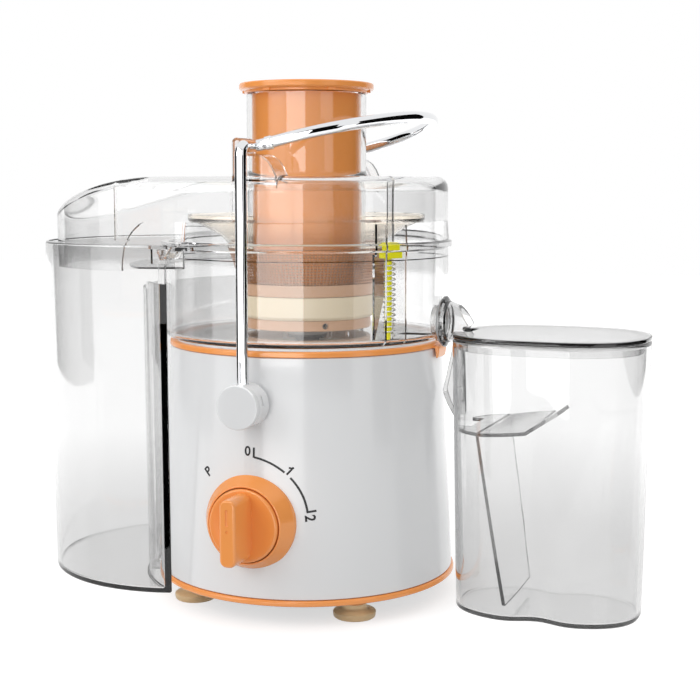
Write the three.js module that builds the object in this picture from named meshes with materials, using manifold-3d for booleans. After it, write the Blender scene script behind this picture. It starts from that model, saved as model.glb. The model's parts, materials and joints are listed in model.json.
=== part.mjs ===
// Centrifugal juicer: motor base, juice bowl, sieve basket, lid with hood, bail, pulp bin and juice jug.
// Millimetres, +Z up. Every piece is modelled about the motor's axis, with the table at z = 0.
// The front, with the knob, faces -Y. The pulp bin stands at -X and the juice jug at +X.

import * as THREE from 'three';
import { mergeVertices } from 'three/addons/utils/BufferGeometryUtils.js';
import Module from 'manifold-3d';

const wasm = await Module();
wasm.setup();

// ---------------------------------------------------------------- driving dimensions

const GAP = 0.3; // kept between pieces that touch
const AXIS_X = -19.6; // the motor's axis, measured from the middle of the whole object
const AXIS_Y = 6.8;

const FOOT = {
  ringRadius: 73.7, angle: 43.5, height: 12,
  cupRadius: 12.4, neckRadius: 6.9, collarRadius: 8.4, stemRadius: 3,
};
const BASE = { radius: 90, innerRadius: 85, bottomZ: 12, ringTopZ: 15.2, plateZ: 12.5, plateTopZ: 15 };
const SHELL = { bottomRadius: 88.6, topRadius: 82.5, bottomZ: 15.5, topZ: 150.8, wall: 2.5 };
const TOP_RING = { outer: 82.9, inner: 79.4, bottomZ: 151.1, topZ: 154.3 };
const DECK = {
  radius: 79.1, bottomZ: 151.1, topZ: 153, seatRadius: 66, seatWidth: 4, seatZ: 155.7,
  bossRadius: 12.2, bossZ: 160.4, bore: 8.4, ribRadius: 71.4, ribZ: 142,
};

const BOWL = {
  radius: 85.3, wall: 2.1, corner: 9, ledgeRadius: 87.2,
  bottomZ: 156, floorZ: 158.4, ledgeZ: 210.4, topZ: 224.7,
};
const LID = { radius: 84.9, bottomZ: 225, topZ: 250.7, wall: 2.2, corner: 7 };
const TUBE = { radius: 35.7, wall: 2, topZ: 297.4, bottomZ: 196 };
const HOOD = {
  x: -80, radius: 80, wall: 2, skirtZ: 197, crownZ: 250.6, dome: 0.4, corner: 3,
  fall: 26, fallFromX: -62, fallPower: 1.8,
};
const CHUTE = { floorZ: 197.3, floorThickness: 2, reach: 106, gateZ: 212.6 };
// The line in X and Z where the hood meets the chute, from the lid's seam down to the skirt.
const PARTING = [[-66.7, 224.7], [-72, 221.6], [-76.6, 216.4], [-79.8, 209], [-81.5, 192.3]];
const CHANNEL = {
  reach: 71.4, upperReach: 73.6, outerReach: 84, halfWidth: 7.7, wall: 1.2, stepZ: 207, topZ: 223.6,
};
const SPOUT = { z: 166.4, rootRadius: 9.4, tipRadius: 7, wall: 1.6, flangeRadius: 15, tipX: 102 };
const SOCKET = { x: 85.5, radius: 11.8 }; // the short ring on the bowl that the spout clips into

const PUSHER = { radius: 32.6, wall: 2, bottomZ: 188, rimRadius: 37, flangeRadius: 40.1, topZ: 305.6 };
const BASKET = { hubRadius: 41.4, bandRadius: 38.5, hubZ: 161, discZ: 181 };
const CONE = { footRadius: 38.9, topRadius: 46.6, topZ: 209.4, wall: 1.4 };
const RIM = { radius: 71, topZ: 228.5, wall: 1.8 };
const SHAFT = { radius: 4, bottomZ: 26, topZ: 172 };

const PIVOT = { z: 125.3, depth: 93, radius: 12.5, backDepth: 84.4, faceDepth: 98.2 };
const BAIL = {
  radius: 3.35, topZ: 266.7, pinDepth: 81.5,
  loopHalf: 74, shoulderX: 39, tipX: 74.5, tipHalf: 28, rise: 0.238,
};
const EAR = {
  frontDepth: 84, backDepth: 68, leftX: -9.4, rightX: 16.6, topZ: 271.4, footZ: 240, clearance: 0.6,
};
const KNOB = { z: 58, bezelRadius: 27.2, wellRadius: 21.4, radius: 20.8, floorDepth: 89.4, faceDepth: 93.6 };
const GRIP = { width: 9.4, length: 38, footDepth: 93.8, tipDepth: 114.9, round: 1 };

const BIN = { bottomRadius: 85, topRadius: 87.5, hollow: 97, bottomZ: 10, topZ: 212, wall: 2, inletZ: 186 };
const HOOK = { x: -53, innerY: 75, outerY: 83, tipZ: 203.6 };
const JUG = {
  x: 151, halfLength: 55.8, halfWidth: 47, footLength: 53.5, footWidth: 34.5, waist: 6.5, topWaist: 0.7,
  topZ: 158.8, wall: 2, floorZ: 2.6,
};
const NOTCH = { x0: 71, x1: 111, halfWidth: 12 }; // cut in the jug's lid for the spout
const PIN = { azimuth: -29, reach: 77, radius: 1.5, bottomZ: 158.2, capZ: 205, capTopZ: 213.5 };
const SPRING = { radius: 3.6, bottomZ: 160.8 };
const PLUNGER = { radius: 1, topZ: 153.8 };

const CORD = { z: 34, radius: 6.4, flangeRadius: 8.4, bore: 3.6 };
const MOTOR = { statorZ: 58, statorTopZ: 103, boreRadius: 24, armatureRadius: 23 };
const RODS = [[-38, -42], [38, -42], [38, 42], [-38, 42]]; // plan of the motor's four legs
const ROD_RADIUS = 2.8;

const FINE = 36; // sides of the large round pieces
const MEDIUM = 20;
const COARSE = 10;

// ---------------------------------------------------------------- materials

const material = (color, roughness, metalness = 0, opacity = 1) =>
  new THREE.MeshStandardMaterial({ color, roughness, metalness, opacity, transparent: opacity < 1 });

const WHITE_GLOSS = material(0xf3f4f5, 0.18);
const ORANGE_GLOSS = material(0xef9448, 0.25);
const CLEAR = material(0xdfe3e5, 0.08, 0, 0.35);
const CREAM = material(0xf2e2c4, 0.4);
const SUCTION_RUBBER = material(0xf0d9ae, 0.55);
const YELLOW = material(0xe4e614, 0.35);
const CHROME = material(0xd9dcdf, 0.08, 1);
const STEEL = material(0xb9bcbf, 0.3, 1);
const LAMINATION = material(0x6a6d70, 0.5, 1);
const COPPER = material(0xb8703a, 0.35, 1);
const BLACK_PLASTIC = material(0x26272a, 0.5);
const BLACK_RUBBER = material(0x1d1d1f, 0.8);
const GREY_PLASTIC = material(0x9a9ea2, 0.5);

// ---------------------------------------------------------------- solids and booleans

function toSolid(geometry) {
  const bare = geometry.clone();
  bare.deleteAttribute('normal');
  bare.deleteAttribute('uv');
  const merged = mergeVertices(bare, 1e-4);
  const index = merged.index.array;
  const triVerts = [];
  for (let i = 0; i < index.length; i += 3) {
    const [a, b, c] = [index[i], index[i + 1], index[i + 2]];
    if (a !== b && b !== c && c !== a) triVerts.push(a, b, c);
  }
  return new wasm.Manifold(new wasm.Mesh({
    numProp: 3,
    vertProperties: new Float32Array(merged.attributes.position.array),
    triVerts: new Uint32Array(triVerts),
  }));
}

function toGeometry(solid) {
  const mesh = solid.getMesh();
  const geometry = new THREE.BufferGeometry();
  geometry.setAttribute('position', new THREE.BufferAttribute(new Float32Array(mesh.vertProperties), 3));
  geometry.setIndex(new THREE.BufferAttribute(new Uint32Array(mesh.triVerts), 1));
  geometry.computeVertexNormals();
  return geometry;
}

const join = (first, ...others) =>
  toGeometry(others.reduce((sum, geometry) => sum.add(toSolid(geometry)), toSolid(first)));
const cut = (first, ...tools) =>
  toGeometry(tools.reduce((rest, geometry) => rest.subtract(toSolid(geometry)), toSolid(first)));
const common = (first, ...others) =>
  toGeometry(others.reduce((rest, geometry) => rest.intersect(toSolid(geometry)), toSolid(first)));

// A mirror image across the X-Z plane, with its faces turned back to point outward.
function mirrored(geometry) {
  const image = mergeVertices(geometry.clone()).scale(1, -1, 1);
  const index = image.index.array;
  for (let i = 0; i < index.length; i += 3) [index[i], index[i + 1]] = [index[i + 1], index[i]];
  image.computeVertexNormals();
  return image;
}

// ---------------------------------------------------------------- shapes

const radians = THREE.MathUtils.degToRad;
const mix = THREE.MathUtils.lerp;

// Points of a round stretch in a profile, from one angle to another, in degrees.
function arc(centreX, centreY, radius, from, to, steps = 4) {
  const points = [];
  for (let i = 0; i <= steps; i++) {
    const angle = radians(mix(from, to, i / steps));
    points.push([centreX + radius * Math.cos(angle), centreY + radius * Math.sin(angle)]);
  }
  return points;
}

// A solid turned about +Z. The profile is [r, z] points: closed, or from the axis back to the axis.
function turned(profile, sides = FINE) {
  const points = profile.map(([r, z]) => new THREE.Vector2(r, z));
  if (THREE.ShapeUtils.area(points) < 0) points.reverse();
  if (points[0].x !== 0) points.push(points[0].clone());
  return new THREE.LatheGeometry(points, sides).rotateX(Math.PI / 2);
}

const disc = (radius, z0, z1, sides = MEDIUM) =>
  turned([[0, z0], [radius, z0], [radius, z1], [0, z1]], sides);

const ring = (outer, inner, z0, z1, sides = MEDIUM) =>
  turned([[inner, z0], [outer, z0], [outer, z1], [inner, z1]], sides);

function block(x0, x1, y0, y1, z0, z1) {
  const geometry = new THREE.BoxGeometry(x1 - x0, y1 - y0, z1 - z0);
  return geometry.translate((x0 + x1) / 2, (y0 + y1) / 2, (z0 + z1) / 2);
}

const outline = (points) => new THREE.Shape(points.map(([x, y]) => new THREE.Vector2(x, y)));

// A plan outline carried up from z0 to z1.
function prism(shape, z0, z1, curveSegments = 12) {
  const options = { depth: z1 - z0, bevelEnabled: false, curveSegments };
  return new THREE.ExtrudeGeometry(shape, options).translate(0, 0, z0);
}

// An outline in X and Z carried along Y, from y0 to y1.
const sidePrism = (shape, y0, y1) => prism(shape, 0, y1 - y0).rotateX(Math.PI / 2).translate(0, y1, 0);

// Lays a piece that is modelled about +Z so that its +Z points to the front, on an axis at the given height.
const facingFront = (geometry, z) => geometry.rotateX(Math.PI / 2).translate(0, 0, z);

// Lays it so that its +Z points to +X, at the given height.
const facingRight = (geometry, z) => geometry.rotateY(Math.PI / 2).translate(0, 0, z);

// Sets a piece that is modelled on the +X axis at an azimuth about the motor's axis.
const atAzimuth = (geometry, degrees) => geometry.rotateZ(radians(degrees));

// A solid whose plan runs from one closed curve at z0 to another at z1. A curve gives a point for each turn.
function loft(lowCurve, highCurve, z0, z1, sides = FINE) {
  const geometry = new THREE.CylinderGeometry(1, 1, 1, sides, 1).rotateX(Math.PI / 2);
  const position = geometry.attributes.position;
  for (let i = 0; i < position.count; i++) {
    const [x, y] = [position.getX(i), position.getY(i)];
    const rise = position.getZ(i) + 0.5;
    const onAxis = Math.hypot(x, y) < 0.5;
    const turn = Math.atan2(y, x) / (2 * Math.PI);
    const point = onAxis ? new THREE.Vector2() : lowCurve(turn).lerp(highCurve(turn), rise);
    position.setXYZ(i, point.x, point.y, mix(z0, z1, rise));
  }
  return geometry;
}

// A path of straight runs and rounded corners. Each straight run is one step and each corner several.
class RoundedPath extends THREE.Curve {
  constructor(points, bends) {
    super();
    this.spans = [];
    const corners = points.map((point) => new THREE.Vector3(...point));
    let start = corners[0];
    bends.forEach(({ reach, steps }, i) => {
      const [last, corner, next] = corners.slice(i, i + 3);
      const enter = corner.clone().addScaledVector(last.clone().sub(corner).normalize(), reach);
      const leave = corner.clone().addScaledVector(next.clone().sub(corner).normalize(), reach);
      this.spans.push({ curve: new THREE.LineCurve3(start, enter), steps: 1 });
      this.spans.push({ curve: new THREE.QuadraticBezierCurve3(enter, corner, leave), steps });
      start = leave;
    });
    this.spans.push({ curve: new THREE.LineCurve3(start, corners[corners.length - 1]), steps: 1 });
    this.steps = this.spans.reduce((sum, span) => sum + span.steps, 0);
  }

  getPoint(t, target = new THREE.Vector3()) {
    let place = t * this.steps;
    for (const span of this.spans) {
      if (place <= span.steps) return span.curve.getPoint(place / span.steps, target);
      place -= span.steps;
    }
    return this.spans[this.spans.length - 1].curve.getPoint(1, target);
  }

  getUtoTmapping(u) {
    return u;
  }
}

function wire(path, radius) {
  const section = outline(arc(0, 0, radius, 0, 315, 7));
  return new THREE.ExtrudeGeometry(section, { steps: path.steps, extrudePath: path, bevelEnabled: false });
}

// ---------------------------------------------------------------- assembly

const juicer = new THREE.Group();
juicer.position.set(AXIS_X, AXIS_Y, 0);

function piece(name, geometry, look) {
  const mesh = new THREE.Mesh(geometry, look);
  mesh.name = name;
  juicer.add(mesh);
  return mesh;
}

// ---------------------------------------------------------------- base

const footPlaces = [
  ['front_right', FOOT.angle - 90],
  ['rear_right', 90 - FOOT.angle],
  ['rear_left', 90 + FOOT.angle],
  ['front_left', 270 - FOOT.angle],
].map(([name, degrees]) => ({
  name,
  x: FOOT.ringRadius * Math.cos(radians(degrees)),
  y: FOOT.ringRadius * Math.sin(radians(degrees)),
}));

function suctionFoot() {
  const { cupRadius, neckRadius, collarRadius, stemRadius, height } = FOOT;
  const stemTopZ = height + 7;
  return turned([
    [0, 2.6], [cupRadius - 4.6, 0], [cupRadius - 1.8, 0], [cupRadius - 0.6, 1.2], [cupRadius, 3.4],
    [cupRadius - 0.8, 4.5], [8, 5.6], [neckRadius, 7], [neckRadius, 8.8],
    [collarRadius, 10.4], [collarRadius, height - GAP],
    [stemRadius, height - GAP], [stemRadius, stemTopZ], [0, stemTopZ],
  ], COARSE);
}

function bottomPlate() {
  const { innerRadius, plateZ, plateTopZ } = BASE;
  const radius = innerRadius - 3 * GAP;
  const plate = turned([
    [0, plateZ], [radius, plateZ], [radius, 20], [radius - 2, 20], [radius - 2, plateTopZ], [0, plateTopZ],
  ], MEDIUM);
  const through = { z0: plateZ - 5, z1: plateTopZ + 5 };
  const footHoles = footPlaces.map(({ x, y }) =>
    disc(FOOT.stemRadius + GAP, through.z0, through.z1, COARSE).translate(x, y, 0));
  const slots = [-22, -11, 11, 22].flatMap((x) => [-50, 50].map((y) =>
    block(x - 2, x + 2, y - 12, y + 12, through.z0, through.z1)));
  return cut(plate, ...footHoles, ...slots);
}

const baseRing = () => turned([
  [BASE.innerRadius, BASE.bottomZ], [BASE.radius, BASE.bottomZ],
  ...arc(BASE.radius - 1.4, BASE.ringTopZ - 1.4, 1.4, 0, 90, 2), [BASE.innerRadius, BASE.ringTopZ],
]);

const shellRadius = (z) =>
  THREE.MathUtils.mapLinear(z, SHELL.bottomZ, SHELL.topZ, SHELL.bottomRadius, SHELL.topRadius);

const shellSolid = (margin) => turned([
  [0, SHELL.bottomZ], [shellRadius(SHELL.bottomZ) + margin, SHELL.bottomZ],
  [shellRadius(SHELL.topZ) + margin, SHELL.topZ], [0, SHELL.topZ],
]);

function motorHousing() {
  const shell = cut(shellSolid(0), shellSolid(-SHELL.wall).scale(1, 1, 1.1).translate(0, 0, -6));
  const shaftHole = facingFront(disc(7, 60, 100, COARSE), KNOB.z);
  const hubHoles = facingFront(disc(6.4, -100, 100, COARSE), PIVOT.z);
  const cordHole = facingFront(disc(CORD.radius, -100, -60, COARSE), CORD.z);
  return cut(shell, shaftHole, hubHoles, cordHole);
}

// The cord's rubber bush, with a flange on either side of the wall.
function cordGland() {
  const { z, radius, flangeRadius, bore } = CORD;
  const neck = radius - GAP;
  const outside = shellRadius(z) + 1;
  const inside = outside - SHELL.wall - 2;
  const bush = turned([
    [bore, inside - 2], [flangeRadius, inside - 2], [flangeRadius, inside], [neck, inside], [neck, outside],
    [flangeRadius, outside], [flangeRadius, outside + 2.4], [bore, outside + 2.4],
  ], COARSE);
  return mirrored(facingFront(bush, z));
}

function topRing() {
  const { outer, inner, bottomZ, topZ } = TOP_RING;
  const edge = arc(outer - 1, topZ - 1, 1, 0, 90, 2);
  const band = turned([[inner, bottomZ], [outer, bottomZ], ...edge, [inner, topZ]]);
  const dripLip = sidePrism(outline([
    [81.4, bottomZ], [83.6, bottomZ], [84.4, 148], [84.6, 145.2], [86.2, 146.4], [87.3, 150.2], [86, 152.2],
    [81.4, 152.6],
  ]), -9, 9);
  return join(band, dripLip);
}

function motorDeck() {
  const { radius, bottomZ, topZ, seatRadius, seatWidth, seatZ, ribRadius, ribZ } = DECK;
  const { bossRadius, bossZ, bore } = DECK;
  const [ribInner, seatInner] = [ribRadius - 2.4, seatRadius - seatWidth];
  const deck = turned([
    [bore, bottomZ], [ribInner, bottomZ], [ribInner, ribZ], [ribRadius, ribZ], [ribRadius, bottomZ],
    [radius, bottomZ], [radius, topZ], [seatRadius, topZ], [seatRadius, seatZ], [seatInner, seatZ],
    [seatInner, topZ], [bossRadius, topZ], [bossRadius, bossZ], [bore, bossZ],
  ], MEDIUM);
  const plungerHole = disc(PLUNGER.radius + GAP, 140, 160, COARSE).translate(PIN.reach, 0, 0);
  return cut(deck, atAzimuth(plungerHole, PIN.azimuth));
}

const shaftSeal = () => ring(DECK.bore - GAP, SHAFT.radius + GAP, 154, 159, COARSE);

// ---------------------------------------------------------------- switches

function interlockSwitch() {
  const body = block(58, 66, -7, 7, 137.3, DECK.bottomZ - GAP);
  const arm = block(64, PIN.reach + 1.4, -2.5, 2.5, 138.5, 140.5);
  const plunger = disc(PLUNGER.radius, 139, PLUNGER.topZ, COARSE).translate(PIN.reach, 0, 0);
  return atAzimuth(join(body, arm, plunger), PIN.azimuth);
}

function rotarySwitch() {
  const body = ring(17, 3 + GAP, 64, 81.4, 8).rotateZ(Math.PI / 8);
  const neck = ring(6, 3 + GAP, 81, 83.6, COARSE);
  return facingFront(join(body, neck), KNOB.z);
}

function knobBezel() {
  const { bezelRadius, wellRadius, floorDepth, faceDepth } = KNOB;
  const bezel = turned([
    [5, 78], [bezelRadius, 78], [bezelRadius, 84.5], [bezelRadius - 0.8, 86.6],
    [wellRadius + 0.9, faceDepth - 0.5], [wellRadius + 0.5, faceDepth], [wellRadius, faceDepth],
    [wellRadius, floorDepth], [5, floorDepth],
  ], MEDIUM);
  return cut(facingFront(bezel, KNOB.z), shellSolid(GAP));
}

function knobShaft() {
  return facingFront(disc(3, 60, 90.6, COARSE), KNOB.z);
}

function controlKnob() {
  const { radius, floorDepth, faceDepth } = KNOB;
  const { width, length, footDepth, tipDepth, round } = GRIP;
  const bottom = floorDepth + GAP;
  const cap = turned([
    [3 + GAP, bottom], [radius, bottom], [radius, faceDepth + 0.8], [radius - 1.2, faceDepth + 2],
    [radius - 2.4, faceDepth + 2], [radius - 4.8, footDepth], [0, footDepth], [0, 91], [3 + GAP, 91],
  ], MEDIUM);
  const [x, y] = [width / 2 - round, length / 2 - round];
  const bar = outline([
    [-x, 2 - y], [2 - x, -y], [x - 2, -y], [x, 2 - y], [x, y - 2], [x - 2, y], [2 - x, y], [-x, y - 2],
  ]);
  const grip = new THREE.ExtrudeGeometry(bar, {
    depth: tipDepth - footDepth - round, bevelThickness: round, bevelSize: round, bevelSegments: 2,
  }).translate(0, 0, footDepth);
  const pointer = block(-0.9, 0.9, 4.2, 13.4, tipDepth - 0.8, tipDepth + 2);
  return facingFront(cut(join(cap, grip), pointer), KNOB.z);
}

// ---------------------------------------------------------------- motor

function statorCore() {
  const frame = new THREE.Shape();
  frame.moveTo(-42, -30).lineTo(-34, -38).lineTo(34, -38).lineTo(42, -30).lineTo(42, 30).lineTo(34, 38);
  frame.lineTo(-34, 38).lineTo(-42, 30);
  const core = prism(frame, MOTOR.statorZ, MOTOR.statorTopZ);
  const ears = RODS.map(([x, y]) => disc(7, MOTOR.statorZ, MOTOR.statorTopZ, COARSE).translate(x, y, 0));
  const rodHoles = RODS.map(([x, y]) => disc(ROD_RADIUS + GAP, 50, 110, COARSE).translate(x, y, 0));
  const window = block(-20, 20, 25, 33, 50, 110);
  return cut(join(core, ...ears), disc(MOTOR.boreRadius, 50, 110), window, mirrored(window), ...rodHoles);
}

// A field coil, standing out of the stator's window above and below.
const fieldCoil = () => block(-19, 19, 25.6, 32.4, MOTOR.statorZ - 7, MOTOR.statorTopZ + 7);

function armatureCore() {
  const { statorZ, statorTopZ, armatureRadius } = MOTOR;
  const core = ring(armatureRadius, SHAFT.radius + GAP, statorZ, statorTopZ);
  const slots = [];
  for (let i = 0; i < 12; i++) {
    const slot = block(12, armatureRadius + 2, -1.4, 1.4, statorZ - 1, statorTopZ + 1);
    slots.push(slot.rotateZ(radians(30 * i)));
  }
  return cut(core, ...slots);
}

function commutator() {
  const copper = ring(11, SHAFT.radius + GAP, 112, 122, 24);
  const slits = [];
  for (let i = 0; i < 12; i++) slits.push(block(9.6, 13, -0.3, 0.3, 113, 124).rotateZ(radians(30 * i)));
  return cut(copper, ...slits);
}

function coolingFan() {
  const hub = ring(10, SHAFT.radius + GAP, 38.5, 48, COARSE);
  const plate = ring(34, 9, 38.5, 40.3);
  const blades = [];
  for (let i = 0; i < 9; i++) {
    const blade = block(9, 33, -0.8, 0.8, 39, 48).rotateZ(radians(18)).translate(0, -3, 0);
    blades.push(blade.rotateZ(radians(40 * i)));
  }
  return join(hub, plate, ...blades);
}

const motorShaft = () => turned([
  [0, SHAFT.bottomZ + 2], [SHAFT.radius, SHAFT.bottomZ + 2], [SHAFT.radius, SHAFT.topZ - 1],
  [SHAFT.radius - 1, SHAFT.topZ], [0, SHAFT.topZ],
], COARSE);

const spider = (z0, z1) => [-1, 1].map((side) =>
  block(-62, 62, -6, 6, z0, z1).rotateZ(side * Math.atan2(RODS[2][1], RODS[2][0])));

const atRods = (make) => RODS.map(([x, y]) => make().translate(x, y, 0));

// The spider under the motor: a cup for the bearing, and a post at each corner that the stator stands on.
function lowerBracket() {
  const posts = atRods(() => disc(5, 29, MOTOR.statorZ - GAP, COARSE));
  const rodHoles = atRods(() => disc(ROD_RADIUS + GAP, 20, 60, COARSE));
  const body = join(disc(14, 26, 36), ...spider(26, 30), ...posts);
  return cut(body, disc(11 + GAP, 30, 40), disc(6, 20, 40, COARSE), ...rodHoles);
}

// The spider over the motor, with four legs that run down through the stator into the posts.
function upperBracket() {
  const shoulders = atRods(() => disc(5, MOTOR.statorTopZ + GAP, 127, COARSE));
  const legs = atRods(() => disc(ROD_RADIUS, 31, 127, COARSE));
  const body = join(disc(38, 126, 130), disc(14, 126, 138), ...spider(126, 130), ...shoulders, ...legs);
  return cut(body, disc(11 + GAP, 130, 140), disc(6, 120, 140, COARSE));
}

const bearing = (z0) => ring(11, SHAFT.radius + GAP, z0, z0 + 7);

const brushHolder = () => block(13, 36, -4, 4, 113, 126 - GAP);

const rubberMount = () => disc(6, BASE.plateTopZ + GAP, 26 - GAP, COARSE);

// ---------------------------------------------------------------- bail

// The hub is modelled about +Z, with the hole for the wire open to +Y.
function pivotHub() {
  const { depth, radius, backDepth, faceDepth } = PIVOT;
  const cup = turned([
    [0, 80.2], [6, 80.2], [6, backDepth], [radius - 1.6, backDepth], [radius, backDepth + 2],
    [radius, faceDepth], [0, faceDepth],
  ], MEDIUM);
  const boreRadius = BAIL.radius + GAP;
  const wireHole = disc(boreRadius, 0, radius + 2, COARSE).rotateX(-Math.PI / 2).translate(0, 0, depth);
  const well = disc(8.9, 86, faceDepth + 1, COARSE);
  const bore = disc(boreRadius, 79, 88, COARSE);
  const detent = block(radius - 0.8, radius + 1, 1, 6, depth, depth + 1);
  return facingFront(cut(cup, well, bore, wireHole, detent), PIVOT.z);
}

function hubCap() {
  const z0 = PIVOT.faceDepth + GAP;
  const rim = arc(10.9, z0 + 1.8, 1, 0, 90, 2);
  const cap = turned([[0, z0 - 1.4], [7.6, z0 - 1.4], [7.6, z0], [11.9, z0], ...rim, [0, z0 + 2.8]], MEDIUM);
  return facingFront(cap, PIVOT.z);
}

function bail() {
  const { radius, topZ, loopHalf, shoulderX, tipX, tipHalf, rise, pinDepth } = BAIL;
  const { depth, z } = PIVOT;
  const half = [
    [0, -pinDepth, z], [0, -depth, z], [0, -depth, topZ], [0, -loopHalf, topZ],
    [shoulderX, -loopHalf, topZ + rise * shoulderX], [tipX, -tipHalf, topZ + rise * tipX],
  ];
  const otherHalf = half.map(([x, y, height]) => [x, -y, height]).reverse();
  const bends = [
    { reach: 5, steps: 3 }, { reach: 6, steps: 3 }, { reach: 6, steps: 3 }, { reach: 27, steps: 5 },
    { reach: 27, steps: 5 },
  ];
  const path = new RoundedPath([...half, ...otherHalf], [...bends, ...[...bends].reverse()]);
  return wire(path, radius);
}

// ---------------------------------------------------------------- lid

const hoodDrop = (x) => {
  const { radius, fall, fallFromX, fallPower } = HOOD;
  const from = fallFromX - HOOD.x;
  return fall * (Math.max(0, from - x) / (radius + from)) ** fallPower;
};

// The hood is round in plan, and its top falls away from the lid.
function hoodSolid(inset, z0) {
  const { radius, crownZ, dome, corner } = HOOD;
  const [r, crown] = [radius - inset, crownZ - inset];
  const flatRadius = r - corner;
  const edge = arc(flatRadius, crown - dome - corner, corner, 0, 90, 3);
  const rings = [66, 54, 40, 24, 0].map((reach) => [reach, crown - dome * (reach / flatRadius) ** 2]);
  const geometry = turned([[0, z0], [r, z0], ...edge, ...rings]);
  const position = geometry.attributes.position;
  for (let i = 0; i < position.count; i++) {
    if (position.getZ(i) > z0 + 1) position.setZ(i, position.getZ(i) - hoodDrop(position.getX(i)));
  }
  return geometry.translate(HOOD.x, 0, 0);
}

// The lid's own turned solid, without the hood.
function lidSolid(inset, z0) {
  const { radius, topZ, corner } = LID;
  const [r, top] = [radius - inset, topZ - inset];
  return turned([[0, z0], [r, z0], ...arc(r - corner, top - corner, corner, 0, 90, 2), [0, top]]);
}

// An ear that the bail snaps over, standing on the lid's shoulder.
function bailEar() {
  const { leftX, rightX, topZ, footZ, frontDepth, backDepth, clearance } = EAR;
  const seat = BAIL.radius + clearance;
  const crown = BAIL.topZ - seat;
  const reach = crown - PIVOT.z;
  const nose = arc(leftX + 2.6, topZ - 2.6, 2.6, 180, 10, 5);
  const track = arc(0, PIVOT.z, reach, 90, 87, 2);
  const shape = outline([
    [leftX, footZ], ...nose, [-seat, topZ - 4], [-seat, crown + 2.4], [-2.4, crown + 0.6], ...track,
    [11, crown - 2.4], [14.5, crown - 6.5], [rightX, LID.topZ], [rightX, footZ],
  ]);
  return cut(sidePrism(shape, -frontDepth, -backDepth), lidSolid(-GAP, LID.bottomZ));
}

function lid() {
  const shells = join(lidSolid(0, LID.bottomZ), hoodSolid(0, HOOD.skirtZ));
  const hollow = join(lidSolid(LID.wall, 190), hoodSolid(HOOD.wall, 190));
  const belowSeam = sidePrism(outline([
    [100, 180], [100, LID.bottomZ], [PARTING[0][0] - GAP, LID.bottomZ],
    ...PARTING.slice(1).map(([x, z]) => [x - GAP, z]), [PARTING[4][0] - GAP, 180],
  ]), -100, 100);
  const pinFin = atAzimuth(block(75.4, 79.8, -0.8, 0.8, PIN.capTopZ + 0.6, LID.topZ - 1), PIN.azimuth);
  return cut(join(cut(shells, hollow, belowSeam), pinFin), disc(TUBE.radius + GAP, 200, 260, FINE));
}

// The chimney that the fruit goes down, with a fillet where it stands on the lid.
function feedTube() {
  const { radius, wall, topZ, bottomZ } = TUBE;
  const foot = LID.topZ + GAP;
  return turned([
    [radius - wall, bottomZ], [radius - 0.6, bottomZ], [radius, foot], [radius + 2.4, foot],
    [radius + 2.4, foot + 0.6], [radius, foot + 3], [radius, topZ], [radius - wall, topZ],
  ]);
}

// ---------------------------------------------------------------- juice bowl

function bowlWall() {
  const { radius, wall, corner, bottomZ, floorZ, ledgeZ, ledgeRadius, topZ } = BOWL;
  const bore = DECK.bossRadius + 1;
  const cornerAt = [radius - corner, bottomZ + corner];
  return turned([
    [bore, bottomZ], ...arc(...cornerAt, corner, -90, 0, 2), [radius, ledgeZ - 0.6],
    [ledgeRadius, ledgeZ], [ledgeRadius, ledgeZ + 1.8], [radius + 0.9, ledgeZ + 2.2],
    [radius - 0.5, topZ], [radius - wall - 0.5, topZ], [radius - wall, ledgeZ],
    ...arc(...cornerAt, corner - wall, 0, -90, 2).filter(([, z]) => z > floorZ),
    [radius - 14, floorZ], [bore + 2, floorZ], [bore + 2, 163], [bore, 163],
  ]);
}

// The space that the bowl's outside fills, for the pieces that stand against it.
const besideBowl = () => join(
  disc(BOWL.radius + GAP, 150, BOWL.ledgeZ - 1.5, FINE),
  disc(BOWL.ledgeRadius + GAP, BOWL.ledgeZ - 1.5, 230, FINE),
);

// Walls and floor that lead the pulp from the bowl to the bin.
function bowlChute() {
  const { floorZ, floorThickness, reach } = CHUTE;
  const z1 = floorZ + floorThickness;
  const sides = common(
    ring(HOOD.radius, HOOD.radius - HOOD.wall, floorZ, BOWL.topZ, FINE).translate(HOOD.x, 0, 0),
    sidePrism(outline([[-40, 190], ...[...PARTING].reverse(), [-40, BOWL.topZ]]), -100, 100),
  );
  const floor = common(
    disc(HOOD.radius - 1, floorZ, z1, FINE).translate(HOOD.x, 0, 0),
    ring(reach, BOWL.radius - 1, floorZ - 1, z1 + 1, FINE),
  );
  return cut(join(sides, floor, binHook(), mirrored(binHook())), besideBowl());
}

// A hook on either side of the chute: the bin's lip hangs in its gutter.
function binHook() {
  const { x, tipZ, innerY, outerY } = HOOK;
  const arm = BOWL.ledgeZ - 1.5;
  const hook = sidePrism(outline([
    [x + 14, arm], [x + 14, arm + 2.1], [x + 4.4, arm + 2.1], [x + 0.6, tipZ + 1.8], [x - 1.6, tipZ + 1.8],
    [x - 3, tipZ + 5.6], [x - 4.6, tipZ + 5.4], [x - 2.6, tipZ], [x + 1.6, tipZ], [x + 5.2, arm],
  ]), innerY - 5, outerY);
  return cut(hook, disc(HOOD.radius - HOOD.wall, 190, 230, FINE).translate(HOOD.x, 0, 0));
}

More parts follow.
